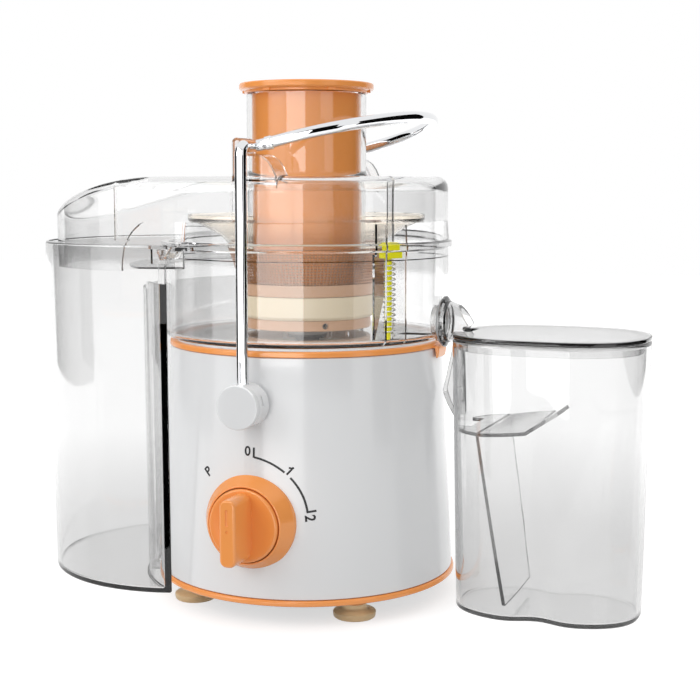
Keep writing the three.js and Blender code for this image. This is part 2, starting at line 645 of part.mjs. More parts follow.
// The walls round the interlock pin. They stand further out beside the basket's rim.
function interlockChannel() {
  const { reach, upperReach, outerReach, halfWidth, wall, stepZ, topZ } = CHANNEL;
  const inside = halfWidth - wall;
  const outer = join(
    block(reach, outerReach, -halfWidth, halfWidth, BOWL.floorZ - 1, stepZ),
    block(upperReach, outerReach, -halfWidth, halfWidth, stepZ - 1, topZ),
  );
  const inner = join(
    block(reach + wall, outerReach + 4, -inside, inside, BOWL.floorZ, stepZ - wall),
    block(upperReach + wall, outerReach + 4, -inside, inside, stepZ - 2, topZ + 1),
  );
  return atAzimuth(cut(outer, inner), PIN.azimuth);
}

function juiceBowl() {
  const channelWalls = common(interlockChannel(), disc(BOWL.radius - 1, 150, 230, FINE));
  const wallWithChute = cut(
    bowlWall(),
    disc(HOOD.radius - HOOD.wall, CHUTE.gateZ, 230, FINE).translate(HOOD.x, 0, 0),
  );
  const body = join(wallWithChute, channelWalls);
  const pinHole = atAzimuth(disc(PIN.radius + GAP, 150, 162, COARSE).translate(PIN.reach, 0, 0), PIN.azimuth);
  const spoutHole = facingRight(disc(SOCKET.radius + GAP, 70, 90, MEDIUM), SPOUT.z);
  return cut(body, pinHole, spoutHole);
}

const spoutSocket = () => cut(
  facingRight(ring(SOCKET.radius, SPOUT.rootRadius + GAP, 78, SOCKET.x - GAP, MEDIUM), SPOUT.z),
  disc(BOWL.radius - BOWL.wall, 140, 190, FINE),
);

function juiceSpout() {
  const { z, rootRadius, tipRadius, wall, flangeRadius, tipX } = SPOUT;
  const flangeX = SOCKET.x + 1.5;
  const profile = [
    [rootRadius - wall, 80], [rootRadius, 80], [rootRadius, flangeX], [flangeRadius, flangeX],
    [flangeRadius, flangeX + 1.6], [rootRadius + 0.4, flangeX + 2.4], [tipRadius, tipX],
    [tipRadius - wall, tipX],
  ];
  const nozzle = facingRight(turned(profile, MEDIUM), z);
  const slant = sidePrism(outline([
    [tipX - 3.4, z + 20], [tipX + 0.6, z - 20], [tipX + 20, z - 20], [tipX + 20, z + 20],
  ]), -20, 20);
  return cut(nozzle, slant);
}

const spoutSeal = () =>
  facingRight(ring(13.2, SPOUT.rootRadius + GAP, SOCKET.x, SOCKET.x + 1.2, MEDIUM), SPOUT.z);

function interlockPin() {
  const { radius, reach, bottomZ, capZ, capTopZ } = PIN;
  const rod = disc(radius, bottomZ, capZ + 1, COARSE);
  const collar = block(-1.9, 4.6, -5.6, 5.6, capZ, capZ + 4.2);
  const head = block(-1.7, 3.4, -4.2, 4.2, capZ + 4, capTopZ);
  return atAzimuth(join(rod, collar, head).translate(reach, 0, 0), PIN.azimuth);
}

// The spring, as the closed sleeve that its turns fill.
function interlockSpring() {
  const sleeve = ring(SPRING.radius, PIN.radius + GAP, SPRING.bottomZ, PIN.capZ - GAP, COARSE);
  return atAzimuth(sleeve.translate(PIN.reach, 0, 0), PIN.azimuth);
}

// ---------------------------------------------------------------- sieve basket

// The plan of the drive: a round hub with six shallow lobes.
function driveShape(radius) {
  const points = [];
  for (let i = 0; i < 12; i++) {
    const angle = radians(30 * i);
    const reach = i % 2 ? radius - 1.4 : radius;
    points.push([reach * Math.cos(angle), reach * Math.sin(angle)]);
  }
  return outline(points);
}

function basketBase() {
  const { hubRadius, bandRadius, hubZ, discZ } = BASKET;
  const top = discZ - GAP;
  const wall = 2.4;
  const stepZ = hubZ + 6.4;
  const base = turned([
    [0, 164.6], [11, 164.6], [11, top - wall], [hubRadius - wall, top - wall],
    [bandRadius - wall, stepZ + 1.2], [bandRadius - wall, hubZ], [bandRadius, hubZ], [bandRadius, stepZ],
    [hubRadius, stepZ + 1.8], [hubRadius, top], [5.6, top], [5.6, top + 1.8], [0, top + 2.6],
  ], MEDIUM);
  const socket = prism(driveShape(8), 160, 174);
  const holes = [0, 1, 2].map((i) =>
    facingRight(disc(1.2, 30, 45, 8), hubZ + 3).rotateZ(radians(-51.6 + 120 * i)));
  return cut(base, socket, ...holes);
}

// A disc with rings of pointed teeth, each leaning the way the disc turns.
function graterDisc() {
  const { discZ } = BASKET;
  const thickness = 0.9;
  const plate = ring(CONE.footRadius - GAP, 6, discZ, discZ + thickness);
  const tooth = () => {
    const point = new THREE.ConeGeometry(1.25, 2, 3).rotateX(Math.PI / 2);
    return point.translate(0, 0, 0.7);
  };
  const teeth = [];
  for (const [radius, count] of [[12, 8], [17, 12], [22, 14], [27, 18], [32, 20], [36.4, 24]]) {
    for (let i = 0; i < count; i++) {
      const angle = radians((360 * i) / count + radius * 7);
      teeth.push(tooth().translate(radius, 0, discZ + thickness).rotateZ(angle));
    }
  }
  return join(plate, ...teeth);
}

function meshCone() {
  const { footRadius, topRadius, topZ, wall } = CONE;
  return turned([
    [footRadius, BASKET.discZ], [footRadius + wall, BASKET.discZ],
    [topRadius + wall, topZ], [topRadius, topZ],
  ]);
}

// The rim flares from the top of the mesh to an upright lip.
function basketRim() {
  const { radius, topZ, wall } = RIM;
  const z0 = CONE.topZ + GAP;
  const foot = CONE.topRadius;
  return turned([
    [foot, z0], [foot + wall, z0], [foot + 6, z0 + 4.2], [foot + 14, z0 + 9.2], [radius - 1.4, z0 + 14],
    [radius, z0 + 16], [radius, topZ], [radius - wall, topZ], [radius - wall, z0 + 16.6],
    [foot + 13, z0 + 10.8], [foot + 4.6, z0 + 5.4],
  ]);
}

// The star-shaped hub that drives the basket.
function driveCoupling() {
  const flange = disc(11.4, 160.8, 162.4);
  return cut(join(flange, prism(driveShape(7.6), 162, 170)), disc(SHAFT.radius + GAP, 150, 180, COARSE));
}

// ---------------------------------------------------------------- pusher

function pusherBody() {
  const { radius, wall, bottomZ } = PUSHER;
  return turned([
    [0, bottomZ], [radius - 1, bottomZ], [radius, bottomZ + 1], [radius, TUBE.topZ],
    [radius - wall, TUBE.topZ], [radius - wall, bottomZ + wall], [0, bottomZ + wall],
  ], MEDIUM);
}

function pusherCap() {
  const { radius, wall, rimRadius, flangeRadius, topZ } = PUSHER;
  const z0 = TUBE.topZ + GAP;
  const spigot = radius - wall - GAP;
  const cap = turned([
    [spigot - 2, z0 - 5], [spigot, z0 - 5], [spigot, z0], [rimRadius, z0], [rimRadius, z0 + 3.4],
    [flangeRadius, z0 + 4], [flangeRadius, topZ - 1], [flangeRadius - 1, topZ], [0, topZ], [0, topZ - 2.4],
    [spigot - 2, topZ - 2.4],
  ], MEDIUM);
  const tabs = [];
  for (let i = 0; i < 6; i++) {
    tabs.push(block(rimRadius - 1, rimRadius + 1.4, -2, 2, z0, z0 + 4).rotateZ(radians(60 * i - 45)));
  }
  return join(cap, ...tabs);
}

// ---------------------------------------------------------------- pulp bin

// A round plan, hollowed where the bin stands round the bowl. It widens towards the rim.
function binSolid(inset, z0, z1) {
  const { bottomRadius, topRadius, hollow, bottomZ, topZ } = BIN;
  const [outer, inner] = [bottomRadius - inset, hollow + inset];
  const cornerX = (HOOD.x ** 2 + inner ** 2 - outer ** 2) / (2 * HOOD.x);
  const cornerY = Math.sqrt(inner ** 2 - cornerX ** 2);
  const outerAngle = Math.atan2(cornerY, cornerX - HOOD.x);
  const innerAngle = Math.atan2(cornerY, cornerX);
  const plan = new THREE.Shape();
  plan.absarc(HOOD.x, 0, outer, outerAngle, -outerAngle, false);
  plan.absarc(0, 0, inner, -innerAngle, innerAngle, true);
  const geometry = prism(plan, z0, z1, 18).translate(-HOOD.x, 0, 0);
  const position = geometry.attributes.position;
  for (let i = 0; i < position.count; i++) {
    const rise = (position.getZ(i) - bottomZ) / (topZ - bottomZ);
    const widening = mix(1, topRadius / bottomRadius, rise);
    position.setXY(i, position.getX(i) * widening, position.getY(i) * widening);
  }
  return geometry.translate(HOOD.x, 0, 0);
}

// The rim's lip at either end of the hollow side: it hangs in the bowl's gutter.
function binLip() {
  const { x, tipZ } = HOOK;
  const shape = outline([
    [x - 9, BIN.topZ - 2.2], [x - 1.2, BIN.topZ - 2.2], [x - 1.2, tipZ + 2.2], [x + 0.4, tipZ + 2.2],
    [x + 0.4, BIN.topZ], [x - 9, BIN.topZ],
  ]);
  return sidePrism(shape, HOOK.innerY + 4, HOOK.outerY + 1);
}

function pulpBin() {
  const { bottomZ, topZ, wall, hollow, inletZ } = BIN;
  const walls = cut(binSolid(0, bottomZ, topZ), binSolid(wall, bottomZ + 2.4, topZ + 2));
  const round = disc(hollow + wall + 3, inletZ, topZ + 5, FINE);
  const inlet = common(round, block(-130, 0, -64, 64, inletZ, topZ + 5));
  const chuteGaps = common(round, block(-130, 0, -79, 79, inletZ + 4, topZ + 5));
  const hookGaps = block(HOOK.x - 7, 0, -100, 100, HOOK.tipZ - 2.6, topZ + 5);
  const restPads = [-25, 25].map((degrees) =>
    atAzimuth(block(-hollow - 1, -BASE.radius - 2 * GAP, -4, 4, BASE.bottomZ, BASE.ringTopZ), degrees));
  return join(cut(walls, inlet, chuteGaps, hookGaps), binLip(), mirrored(binLip()), ...restPads);
}

// ---------------------------------------------------------------- juice jug

// The jug's plan: a rounded oblong, drawn in at the middle of each long side.
function jugCurve(halfLength, halfWidth, waist) {
  const squareness = 2 / 2.5;
  return (turn) => {
    const [c, s] = [Math.cos(2 * Math.PI * turn), Math.sin(2 * Math.PI * turn)];
    const x = halfLength * Math.sign(c) * Math.abs(c) ** squareness;
    const y = halfWidth * Math.sign(s) * Math.abs(s) ** squareness;
    return new THREE.Vector2(x, y - Math.sign(s) * waist * Math.exp(-((x / 13) ** 2)));
  };
}

const jugAt = (rise, inset) => jugCurve(
  mix(JUG.footLength, JUG.halfLength, rise) - inset,
  mix(JUG.footWidth, JUG.halfWidth, rise) - inset,
  mix(JUG.waist, JUG.topWaist, rise),
);

const jugSolid = (inset, z0, z1) =>
  loft(jugAt(z0 / JUG.topZ, inset), jugAt(z1 / JUG.topZ, inset), z0, z1).translate(JUG.x, 0, 0);

function juiceJug() {
  const { topZ, wall, floorZ } = JUG;
  const lug = sidePrism(outline([[97.5, 148], [93, 148], [88.6, 126], [91, 120], [97.5, 116]]), -8, 8);
  const hollow = jugSolid(wall, floorZ, topZ + 4);
  const spoutNotch = block(85, 110, -10, 10, topZ - 4, topZ + 5);
  return cut(join(jugSolid(0, 0, topZ), lug), hollow, spoutNotch);
}

function jugLid() {
  const { x, topZ, wall, halfLength, halfWidth } = JUG;
  const z0 = topZ + GAP;
  const edge = jugCurve(halfLength, halfWidth, 0);
  const skirtCurve = (inset) => jugCurve(halfLength - inset, halfWidth - inset, 0);
  const [outer, inner] = [skirtCurve(wall + 1.6), skirtCurve(wall + 3.4)];
  const plate = loft(edge, edge, z0, z0 + 2.7);
  const skirt = cut(loft(outer, outer, z0 - 6, z0 + 1), loft(inner, inner, z0 - 7, z0));
  const spoutNotch = block(NOTCH.x0, NOTCH.x1, -NOTCH.halfWidth, NOTCH.halfWidth, z0 - 10, z0 + 10);
  return cut(join(plate, skirt).translate(x, 0, 0), spoutNotch);
}

// A shelf across the jug, with a ramp at one end and a leaning plate that the juice passes under.
function frothSeparator() {
  const inside = jugSolid(JUG.wall + 0.6, 8, 140);
  const shelf = sidePrism(outline([
    [90, 106], [120, 106], [145.6, 108.8], [164.4, 121.4],
    [163.4, 123.2], [145, 110.8], [119.6, 108], [90, 108],
  ]), -60, 60);
  const leaning = sidePrism(outline([[116.4, 107], [131.8, 9], [133.8, 9], [118.4, 107]]), -60, 60);
  const pourGap = block(80, 108, -14, 14, 100, 112);
  const besideRamp = block(148, 170, -4, 60, 106, 130);
  return common(cut(join(shelf, leaning), pourGap, besideRamp), inside);
}

// ---------------------------------------------------------------- the whole juicer

for (const { name, x, y } of footPlaces) {
  piece(`suction_foot_${name}`, suctionFoot(), SUCTION_RUBBER).position.set(x, y, 0);
}
piece('bottom_plate', bottomPlate(), GREY_PLASTIC);
piece('base_ring', baseRing(), ORANGE_GLOSS);
piece('motor_housing', motorHousing(), WHITE_GLOSS);
piece('cord_gland', cordGland(), BLACK_RUBBER);
piece('top_ring', topRing(), ORANGE_GLOSS);
piece('motor_deck', motorDeck(), WHITE_GLOSS);
piece('shaft_seal', shaftSeal(), BLACK_RUBBER);

piece('interlock_switch', interlockSwitch(), BLACK_PLASTIC);
piece('rotary_switch', rotarySwitch(), BLACK_PLASTIC);
piece('knob_bezel', knobBezel(), ORANGE_GLOSS);
piece('knob_shaft', knobShaft(), STEEL);
piece('control_knob', controlKnob(), ORANGE_GLOSS);

piece('stator_core', statorCore(), LAMINATION);
piece('field_coil_front', mirrored(fieldCoil()), COPPER);
piece('field_coil_rear', fieldCoil(), COPPER);
piece('motor_bracket_lower', lowerBracket(), STEEL);
piece('motor_bracket_upper', upperBracket(), STEEL);
piece('bearing_lower', bearing(30 + GAP), STEEL);
piece('bearing_upper', bearing(130 + GAP), STEEL);
piece('brush_holder_right', brushHolder(), BLACK_PLASTIC);
piece('brush_holder_left', brushHolder().rotateZ(Math.PI), BLACK_PLASTIC);
RODS.forEach(([x, y], i) => {
  piece(`rubber_mount_${i + 1}`, rubberMount(), BLACK_RUBBER).position.set(x, y, 0);
});
piece('armature_core', armatureCore(), LAMINATION);
piece('commutator', commutator(), COPPER);
piece('cooling_fan', coolingFan(), BLACK_PLASTIC);
piece('motor_shaft', motorShaft(), STEEL);

piece('pivot_hub_front', pivotHub(), WHITE_GLOSS);
piece('pivot_hub_rear', mirrored(pivotHub()), WHITE_GLOSS);
piece('hub_cap_front', hubCap(), WHITE_GLOSS);
piece('hub_cap_rear', mirrored(hubCap()), WHITE_GLOSS);
piece('bail_wire', bail(), CHROME);

piece('juice_bowl', juiceBowl(), CLEAR);
piece('bowl_chute', bowlChute(), CLEAR);
piece('spout_socket', spoutSocket(), CLEAR);
piece('juice_spout', juiceSpout(), CLEAR);
piece('spout_seal', spoutSeal(), GREY_PLASTIC);
piece('lid', lid(), CLEAR);
piece('feed_tube', feedTube(), CLEAR);
piece('bail_ear_front', bailEar(), CLEAR);
piece('bail_ear_rear', mirrored(bailEar()), CLEAR);
piece('interlock_pin', interlockPin(), YELLOW);
piece('interlock_spring', interlockSpring(), STEEL);

piece('drive_coupling', driveCoupling(), BLACK_PLASTIC);
piece('basket_base', basketBase(), CREAM);
piece('grater_disc', graterDisc(), STEEL);
piece('mesh_cone', meshCone(), STEEL);
piece('basket_rim', basketRim(), CREAM);

piece('pusher_body', pusherBody(), ORANGE_GLOSS);
piece('pusher_cap', pusherCap(), ORANGE_GLOSS);

piece('pulp_bin', pulpBin(), CLEAR);
piece('juice_jug', juiceJug(), CLEAR);
piece('jug_lid', jugLid(), CLEAR);
piece('froth_separator', frothSeparator(), CLEAR);

export default juicer;
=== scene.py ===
"""Centrifugal juicer: the finishes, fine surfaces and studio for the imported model. Metres, +Z up."""

import json
import math
from itertools import pairwise

import bpy
from mathutils import Matrix, Vector


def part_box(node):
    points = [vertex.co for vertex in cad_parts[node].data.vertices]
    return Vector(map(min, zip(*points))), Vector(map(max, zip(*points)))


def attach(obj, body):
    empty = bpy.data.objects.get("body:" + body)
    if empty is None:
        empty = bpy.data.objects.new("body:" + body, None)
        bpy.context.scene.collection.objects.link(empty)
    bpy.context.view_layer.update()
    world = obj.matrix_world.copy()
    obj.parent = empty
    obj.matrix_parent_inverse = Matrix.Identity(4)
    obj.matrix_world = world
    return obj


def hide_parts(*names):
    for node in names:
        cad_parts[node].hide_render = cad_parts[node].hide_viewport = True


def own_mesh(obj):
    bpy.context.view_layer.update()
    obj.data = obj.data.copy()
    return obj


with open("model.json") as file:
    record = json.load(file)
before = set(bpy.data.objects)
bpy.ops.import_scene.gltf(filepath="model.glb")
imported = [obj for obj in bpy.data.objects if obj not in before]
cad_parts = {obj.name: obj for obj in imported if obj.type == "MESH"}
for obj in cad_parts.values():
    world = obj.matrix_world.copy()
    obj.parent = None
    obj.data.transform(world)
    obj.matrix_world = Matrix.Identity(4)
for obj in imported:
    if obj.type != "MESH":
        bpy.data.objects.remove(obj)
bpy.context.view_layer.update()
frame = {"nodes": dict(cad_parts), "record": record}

MM = 0.001
ROUND = 160  # steps round a large turned piece
SMALL = 48  # steps round a small one


def middle(node):
    low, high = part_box(node)
    return (Vector(low) + Vector(high)) / 2


AXIS = Vector((middle("motor_shaft").x, middle("motor_shaft").y, 0))


# ---------------------------------------------------------------- camera

CAMERA_AZIMUTH = 22.5  # degrees from the front, towards the jug
CAMERA_DISTANCE = 836.2 * MM
CAMERA_HEIGHT = 246 * MM
CAMERA_DOWN = 6.84  # degrees below level
CAMERA_RIGHT = 1.78  # degrees off the motor's axis, towards the jug


def add_camera():
    azimuth = math.radians(CAMERA_AZIMUTH)
    out = Vector((math.sin(azimuth), -math.cos(azimuth), 0))
    bpy.ops.object.camera_add(
        location=AXIS + CAMERA_DISTANCE * out + Vector((0, 0, CAMERA_HEIGHT)),
        rotation=(math.radians(90 - CAMERA_DOWN), 0, math.radians(CAMERA_AZIMUTH - CAMERA_RIGHT)),
    )
    camera = bpy.context.object
    camera.data.lens = 70.94
    camera.data.sensor_width = 36
    bpy.context.scene.camera = camera


# ---------------------------------------------------------------- materials


def colour(code):
    """The linear RGBA of an sRGB hex value."""
    parts = [int(code[i : i + 2], 16) / 255 for i in (1, 3, 5)]
    return [p / 12.92 if p <= 0.04045 else ((p + 0.055) / 1.055) ** 2.4 for p in parts] + [1]


def add_node(tree, kind, inputs=None, **settings):
    """A node with its settings. An input is a value, or an output socket to link."""
    node = tree.nodes.new(kind)
    for name, value in settings.items():
        setattr(node, name, value)
    for name, value in (inputs or {}).items():
        if isinstance(value, bpy.types.NodeSocket):
            tree.links.new(value, node.inputs[name])
        else:
            node.inputs[name].default_value = value
    return node


def new_material(name):
    """A material with its tree, its shader and its Object coordinates."""
    material = bpy.data.materials.new(name)
    material.use_nodes = True
    tree = material.node_tree
    place = add_node(tree, "ShaderNodeTexCoord").outputs["Object"]
    return material, tree, tree.nodes["Principled BSDF"], place


def moulded(name, base, roughness, ripple=9.0, grain=0.5, **inputs):
    """Injection-moulded plastic: a slow ripple from the mould's cooling under a fine even grain. Sizes in mm."""
    material, tree, shader, place = new_material(name)
    slow = add_node(tree, "ShaderNodeTexNoise", {"Vector": place, "Scale": 1 / (ripple * MM), "Detail": 1})
    fine = add_node(tree, "ShaderNodeTexNoise", {"Vector": place, "Scale": 1 / (grain * MM), "Detail": 2})
    swell = add_node(tree, "ShaderNodeBump", {"Height": slow.outputs["Fac"], "Strength": 0.05, "Distance": 0.2 * MM})
    bump = add_node(tree, "ShaderNodeBump", {
        "Height": fine.outputs["Fac"], "Strength": 0.04, "Distance": 0.02 * MM, "Normal": swell.outputs["Normal"],
    })
    polish = add_node(tree, "ShaderNodeMapRange", {
        "Value": fine.outputs["Fac"], "To Min": roughness * 0.85, "To Max": roughness * 1.15,
    })
    tree.links.new(bump.outputs["Normal"], shader.inputs["Normal"])
    tree.links.new(polish.outputs["Result"], shader.inputs["Roughness"])
    shader.inputs["Base Color"].default_value = colour(base)
    for socket, value in inputs.items():
        shader.inputs[socket.replace("_", " ")].default_value = value
    return material


def clear_styrene(name, tint, density):
    """Clear polished SAN. A wall seen face on is nearly clear, and one seen along its length goes dark grey."""
    material = moulded(name, tint, 0.03, ripple=30, IOR=1.54, Transmission_Weight=1.0)
    tree = material.node_tree
    depth = add_node(tree, "ShaderNodeVolumeAbsorption", {"Color": colour("#5A5A5A"), "Density": density})
    tree.links.new(depth.outputs["Volume"], tree.nodes["Material Output"].inputs["Volume"])
    return material


MATERIALS = {
    "white_gloss": moulded("white_abs", "#E9EAEB", 0.2, IOR=1.53, Coat_Weight=0.3, Coat_Roughness=0.06),
    "orange_gloss": moulded("orange_abs", "#FCA152", 0.24, IOR=1.53, Coat_Weight=0.2, Coat_Roughness=0.1),
    "clear_plastic": clear_styrene("clear_styrene", "#FFFFFF", 25.0),
    "cream_plastic": moulded("cream_polypropylene", "#F3E4C6", 0.35, IOR=1.49),
    "suction_rubber": moulded("amber_elastomer", "#FFE3B4", 0.4, IOR=1.4, Transmission_Weight=0.5),
    "yellow_plastic": moulded("yellow_acetal", "#FFFA00", 0.3, IOR=1.48),
    "chromed_wire": moulded("chrome_plating", "#E8E9EB", 0.05, Metallic=1.0),
    "stainless_steel": moulded("stainless_steel", "#C4C6C8", 0.28, Metallic=1.0),
    "cast_aluminium": moulded("cast_aluminium", "#C9CBCD", 0.42, Metallic=1.0),
    "lamination_steel": moulded("lamination_steel", "#7C7E81", 0.5, Metallic=1.0),
    "copper": moulded("enamelled_copper", "#B8673A", 0.3, Metallic=1.0),
    "black_plastic": moulded("black_nylon", "#242527", 0.45, IOR=1.53),
    "black_rubber": moulded("black_rubber", "#1C1C1E", 0.7, IOR=1.52),
    "grey_plastic": moulded("grey_polypropylene", "#A9ABAD", 0.45, IOR=1.49),
}


PRINT = moulded("black_pad_print", "#17171A", 0.45)
MATERIALS["smoky_plastic"] = clear_styrene("smoky_styrene", "#F0F0F0", 45.0)
MATERIALS["sieve_steel"] = moulded("etched_sieve_steel", "#A8764E", 0.32, Metallic=0.6)
MATERIALS["spring_steel"] = moulded("bright_spring_steel", "#E6E8EA", 0.22, Metallic=0.7)
# A darker, warmer copy of the cream plastic: painted shade on the basket's foot and on the band under the sieve.
MATERIALS["cream_painted_shade"] = moulded("cream_polypropylene_painted_shade", "#D9AE8C", 0.35, IOR=1.49)
MATERIALS["rim_plastic"] = moulded("milky_polypropylene", "#FFFAF2", 0.1, IOR=1.1, Transmission_Weight=0.98)


def paint_nodes():
    for part in frame["record"]["subparts"]:
        node = frame["nodes"][part["node"]]
        node.data.materials.clear()
        node.data.materials.append(MATERIALS[part["material_slot"]])


# ---------------------------------------------------------------- modelling

FRONT = (math.pi / 2, 0, 0)  # turns a piece that points up so that it points to the front
RIGHT = (0, math.pi / 2, 0)  # and so that it points to the jug
BACK = (-math.pi / 2, 0, 0)


def choose(piece):
    """Leaves the piece as the only selected object, and the active one."""
    bpy.ops.object.select_all(action="DESELECT")
    piece.select_set(True)
    bpy.context.view_layer.objects.active = piece


def lay(piece, turn=(0, 0, 0), place=(0, 0, 0)):
    """Turns a piece about the motor's axis and moves it, in mm, and leaves its object at the origin."""
    choose(piece)
    bpy.ops.object.transform_apply(location=True, rotation=True, scale=True)
    piece.rotation_euler = turn
    piece.location = Vector(place) * MM
    bpy.ops.object.transform_apply(location=True, rotation=True, scale=True)
    return piece


def copied(piece, name):
    twin = piece.copy()
    twin.data = piece.data.copy()
    twin.name = name
    bpy.context.collection.objects.link(twin)
    return twin


def arc(x, z, radius, start, end, steps=8):
    """Points of a round stretch of a profile or a plan, in mm, from one angle to another."""
    angles = [math.radians(start + (end - start) * i / steps) for i in range(steps + 1)]
    return [(x + radius * math.cos(a), z + radius * math.sin(a)) for a in angles]


def trace(name, points):
    """A chain of edges through points in mm."""
    bpy.ops.object.select_all(action="DESELECT")
    places = [Vector(point) * MM for point in points]
    bpy.ops.mesh.primitive_plane_add(size=MM, location=places[0])
    piece = bpy.context.object
    piece.name = name
    bpy.ops.object.mode_set(mode="EDIT")
    bpy.ops.mesh.merge(type="CENTER")
    for here, there in pairwise(places):
        bpy.ops.mesh.extrude_region_move(TRANSFORM_OT_translate={"value": there - here})
    bpy.ops.mesh.select_all(action="SELECT")
    return piece


def turned(name, profile, steps=ROUND):
    """A profile of (radius, height) points spun about +Z. It closes, or runs from the axis back to the axis."""
    ring = profile if profile[0][0] == 0 else [*profile, profile[0]]
    piece = trace(name, [(radius, 0, z) for radius, z in ring])
    bpy.ops.mesh.spin(steps=steps, angle=math.tau, center=(0, 0, 0), axis=(0, 0, 1))
    bpy.ops.mesh.select_all(action="SELECT")
    bpy.ops.mesh.remove_doubles(threshold=0.001 * MM)
    bpy.ops.mesh.normals_make_consistent(inside=False)
    bpy.ops.object.mode_set(mode="OBJECT")
    return lay(piece)


def disc(name, radius, z0, z1, steps=ROUND):
    return turned(name, [(0, z0), (radius, z0), (radius, z1), (0, z1)], steps)


def pipe(name, outer, inner, z0, z1, steps=ROUND):
    return turned(name, [(inner, z0), (outer, z0), (outer, z1), (inner, z1)], steps)


def filled(name, outline, carry):
    """A closed outline in mm, filled and carried along a vector."""
    piece = trace(name, outline)
    bpy.ops.mesh.edge_face_add()
    bpy.ops.mesh.extrude_region_move(TRANSFORM_OT_translate={"value": Vector(carry) * MM})
    bpy.ops.mesh.select_all(action="SELECT")
    bpy.ops.mesh.normals_make_consistent(inside=False)
    bpy.ops.object.mode_set(mode="OBJECT")
    return lay(piece)


def side_cut(name, outline, y0, y1):
    """An outline in X and Z carried along Y."""
    return filled(name, [(x, y0, z) for x, z in outline], (0, y1 - y0, 0))


def plan_cut(name, outline, z0, z1):
    """An outline in X and Y carried up."""
    return filled(name, [(x, y, z0) for x, y in outline], (0, 0, z1 - z0))


def block(name, x0, x1, y0, y1, z0, z1):
    return plan_cut(name, [(x0, y0), (x1, y0), (x1, y1), (x0, y1)], z0, z1)


def apply_modifier(piece, kind, **settings):
    choose(piece)
    modifier = piece.modifiers.new(kind.lower(), kind)
    for name, value in settings.items():
        setattr(modifier, name, value)
    bpy.ops.object.modifier_apply(modifier=modifier.name)
    return piece


def combined(operation, piece, *others):
    """Joins solids, cuts them off, or keeps their common part. The others are used up."""
    for other in others:
        apply_modifier(piece, "BOOLEAN", operation=operation, solver="EXACT", object=other)
        bpy.data.objects.remove(other)
    return piece


def joined(piece, *others):
    return combined("UNION", piece, *others)


def cut(piece, *others):
    return combined("DIFFERENCE", piece, *others)


def common(piece, *others):
    return combined("INTERSECT", piece, *others)


def softened(piece, width, segments=2, angle=35):
    """Rounds the sharp edges. The width is in mm."""
    return apply_modifier(
        piece, "BEVEL", width=width * MM, segments=segments, limit_method="ANGLE", angle_limit=math.radians(angle),
    )


def across(piece, name):
    """A mirror image of the piece on the other side of the X-Z plane."""
    twin = copied(piece, name)
    choose(twin)
    twin.scale = (1, -1, 1)
    bpy.ops.object.transform_apply(location=False, rotation=False, scale=True)
    bpy.ops.object.mode_set(mode="EDIT")
    bpy.ops.mesh.select_all(action="SELECT")
    bpy.ops.mesh.normals_make_consistent(inside=False)
    bpy.ops.object.mode_set(mode="OBJECT")
    return twin


def smooth(piece, angle=32):
    choose(piece)
    bpy.ops.object.shade_smooth_by_angle(angle=math.radians(angle))
    apply_modifier(piece, "WEIGHTED_NORMAL", keep_sharp=True)
    return piece


def let_light_through(piece):
    """Clear walls don't keep the light off what stands inside them."""
    piece.visible_shadow = False
    piece.visible_diffuse = False


def finish(piece, body, slot, *nodes, skin=None):
    """Sets a piece round the motor's axis, gives it its finish and its body, and hides the nodes it stands for."""
    choose(piece)
    piece.location = AXIS
    bpy.ops.object.transform_apply(location=True, rotation=True, scale=True)
    smooth(piece)
    piece.data.materials.clear()
    piece.data.materials.append(MATERIALS[skin or slot])
    if slot == "clear_plastic":
        let_light_through(piece)
    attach(piece, body)
    if nodes:
        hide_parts(*nodes)
    return piece


# ---------------------------------------------------------------- base

PIN_AZIMUTH, PIN_REACH = math.radians(-31), 77  # where the interlock pin stands
SHELL_BOTTOM, SHELL_TOP = 15.5, 150.8  # heights of the white shell
FOOT_RING, FOOT_ANGLE = 73.7, 43.5


def shell_radius(z):
    """The white shell narrows from 88.6 at the bottom to 82.5 at the top."""
    return 88.6 - 6.1 * (z - SHELL_BOTTOM) / (SHELL_TOP - SHELL_BOTTOM)


def shell_solid(name, margin):
    radii = [shell_radius(z) + margin for z in (SHELL_BOTTOM, SHELL_TOP)]
    return turned(name, [(0, SHELL_BOTTOM), (radii[0], SHELL_BOTTOM), (radii[1], SHELL_TOP), (0, SHELL_TOP)])


def make_feet():
    cup = turned("foot", [
        (0, 2.6), (4, 1.9), (7.8, 0), (10.6, 0), *arc(10.6, 1.6, 1.6, -90, -20, 3), *arc(11.4, 3.2, 1, 0, 90, 4),
        (9.2, 4.8), *arc(9.3, 7.2, 2.4, 270, 180, 5), (6.9, 8.6), (0, 8.6),
    ], SMALL)
    collar = turned("foot_collar", [
        (5, 8.4), (6.9, 8.4), *arc(7.4, 10.2, 1, -70, 0, 4), (8.4, 12.4), (5, 12.4),
    ], SMALL)
    places = {
        "front_right": FOOT_ANGLE - 90, "rear_right": 90 - FOOT_ANGLE,
        "rear_left": 90 + FOOT_ANGLE, "front_left": 270 - FOOT_ANGLE,
    }
    for where, degrees in places.items():
        spot = (FOOT_RING * math.cos(math.radians(degrees)), FOOT_RING * math.sin(math.radians(degrees)), 0)
        rubber = lay(copied(cup, f"foot_{where}"), place=spot)
        let_light_through(finish(rubber, "base", "suction_rubber", f"suction_foot_{where}"))
        finish(lay(copied(collar, f"foot_collar_{where}"), place=spot), "base", "orange_gloss")
    bpy.data.objects.remove(cup)
    bpy.data.objects.remove(collar)


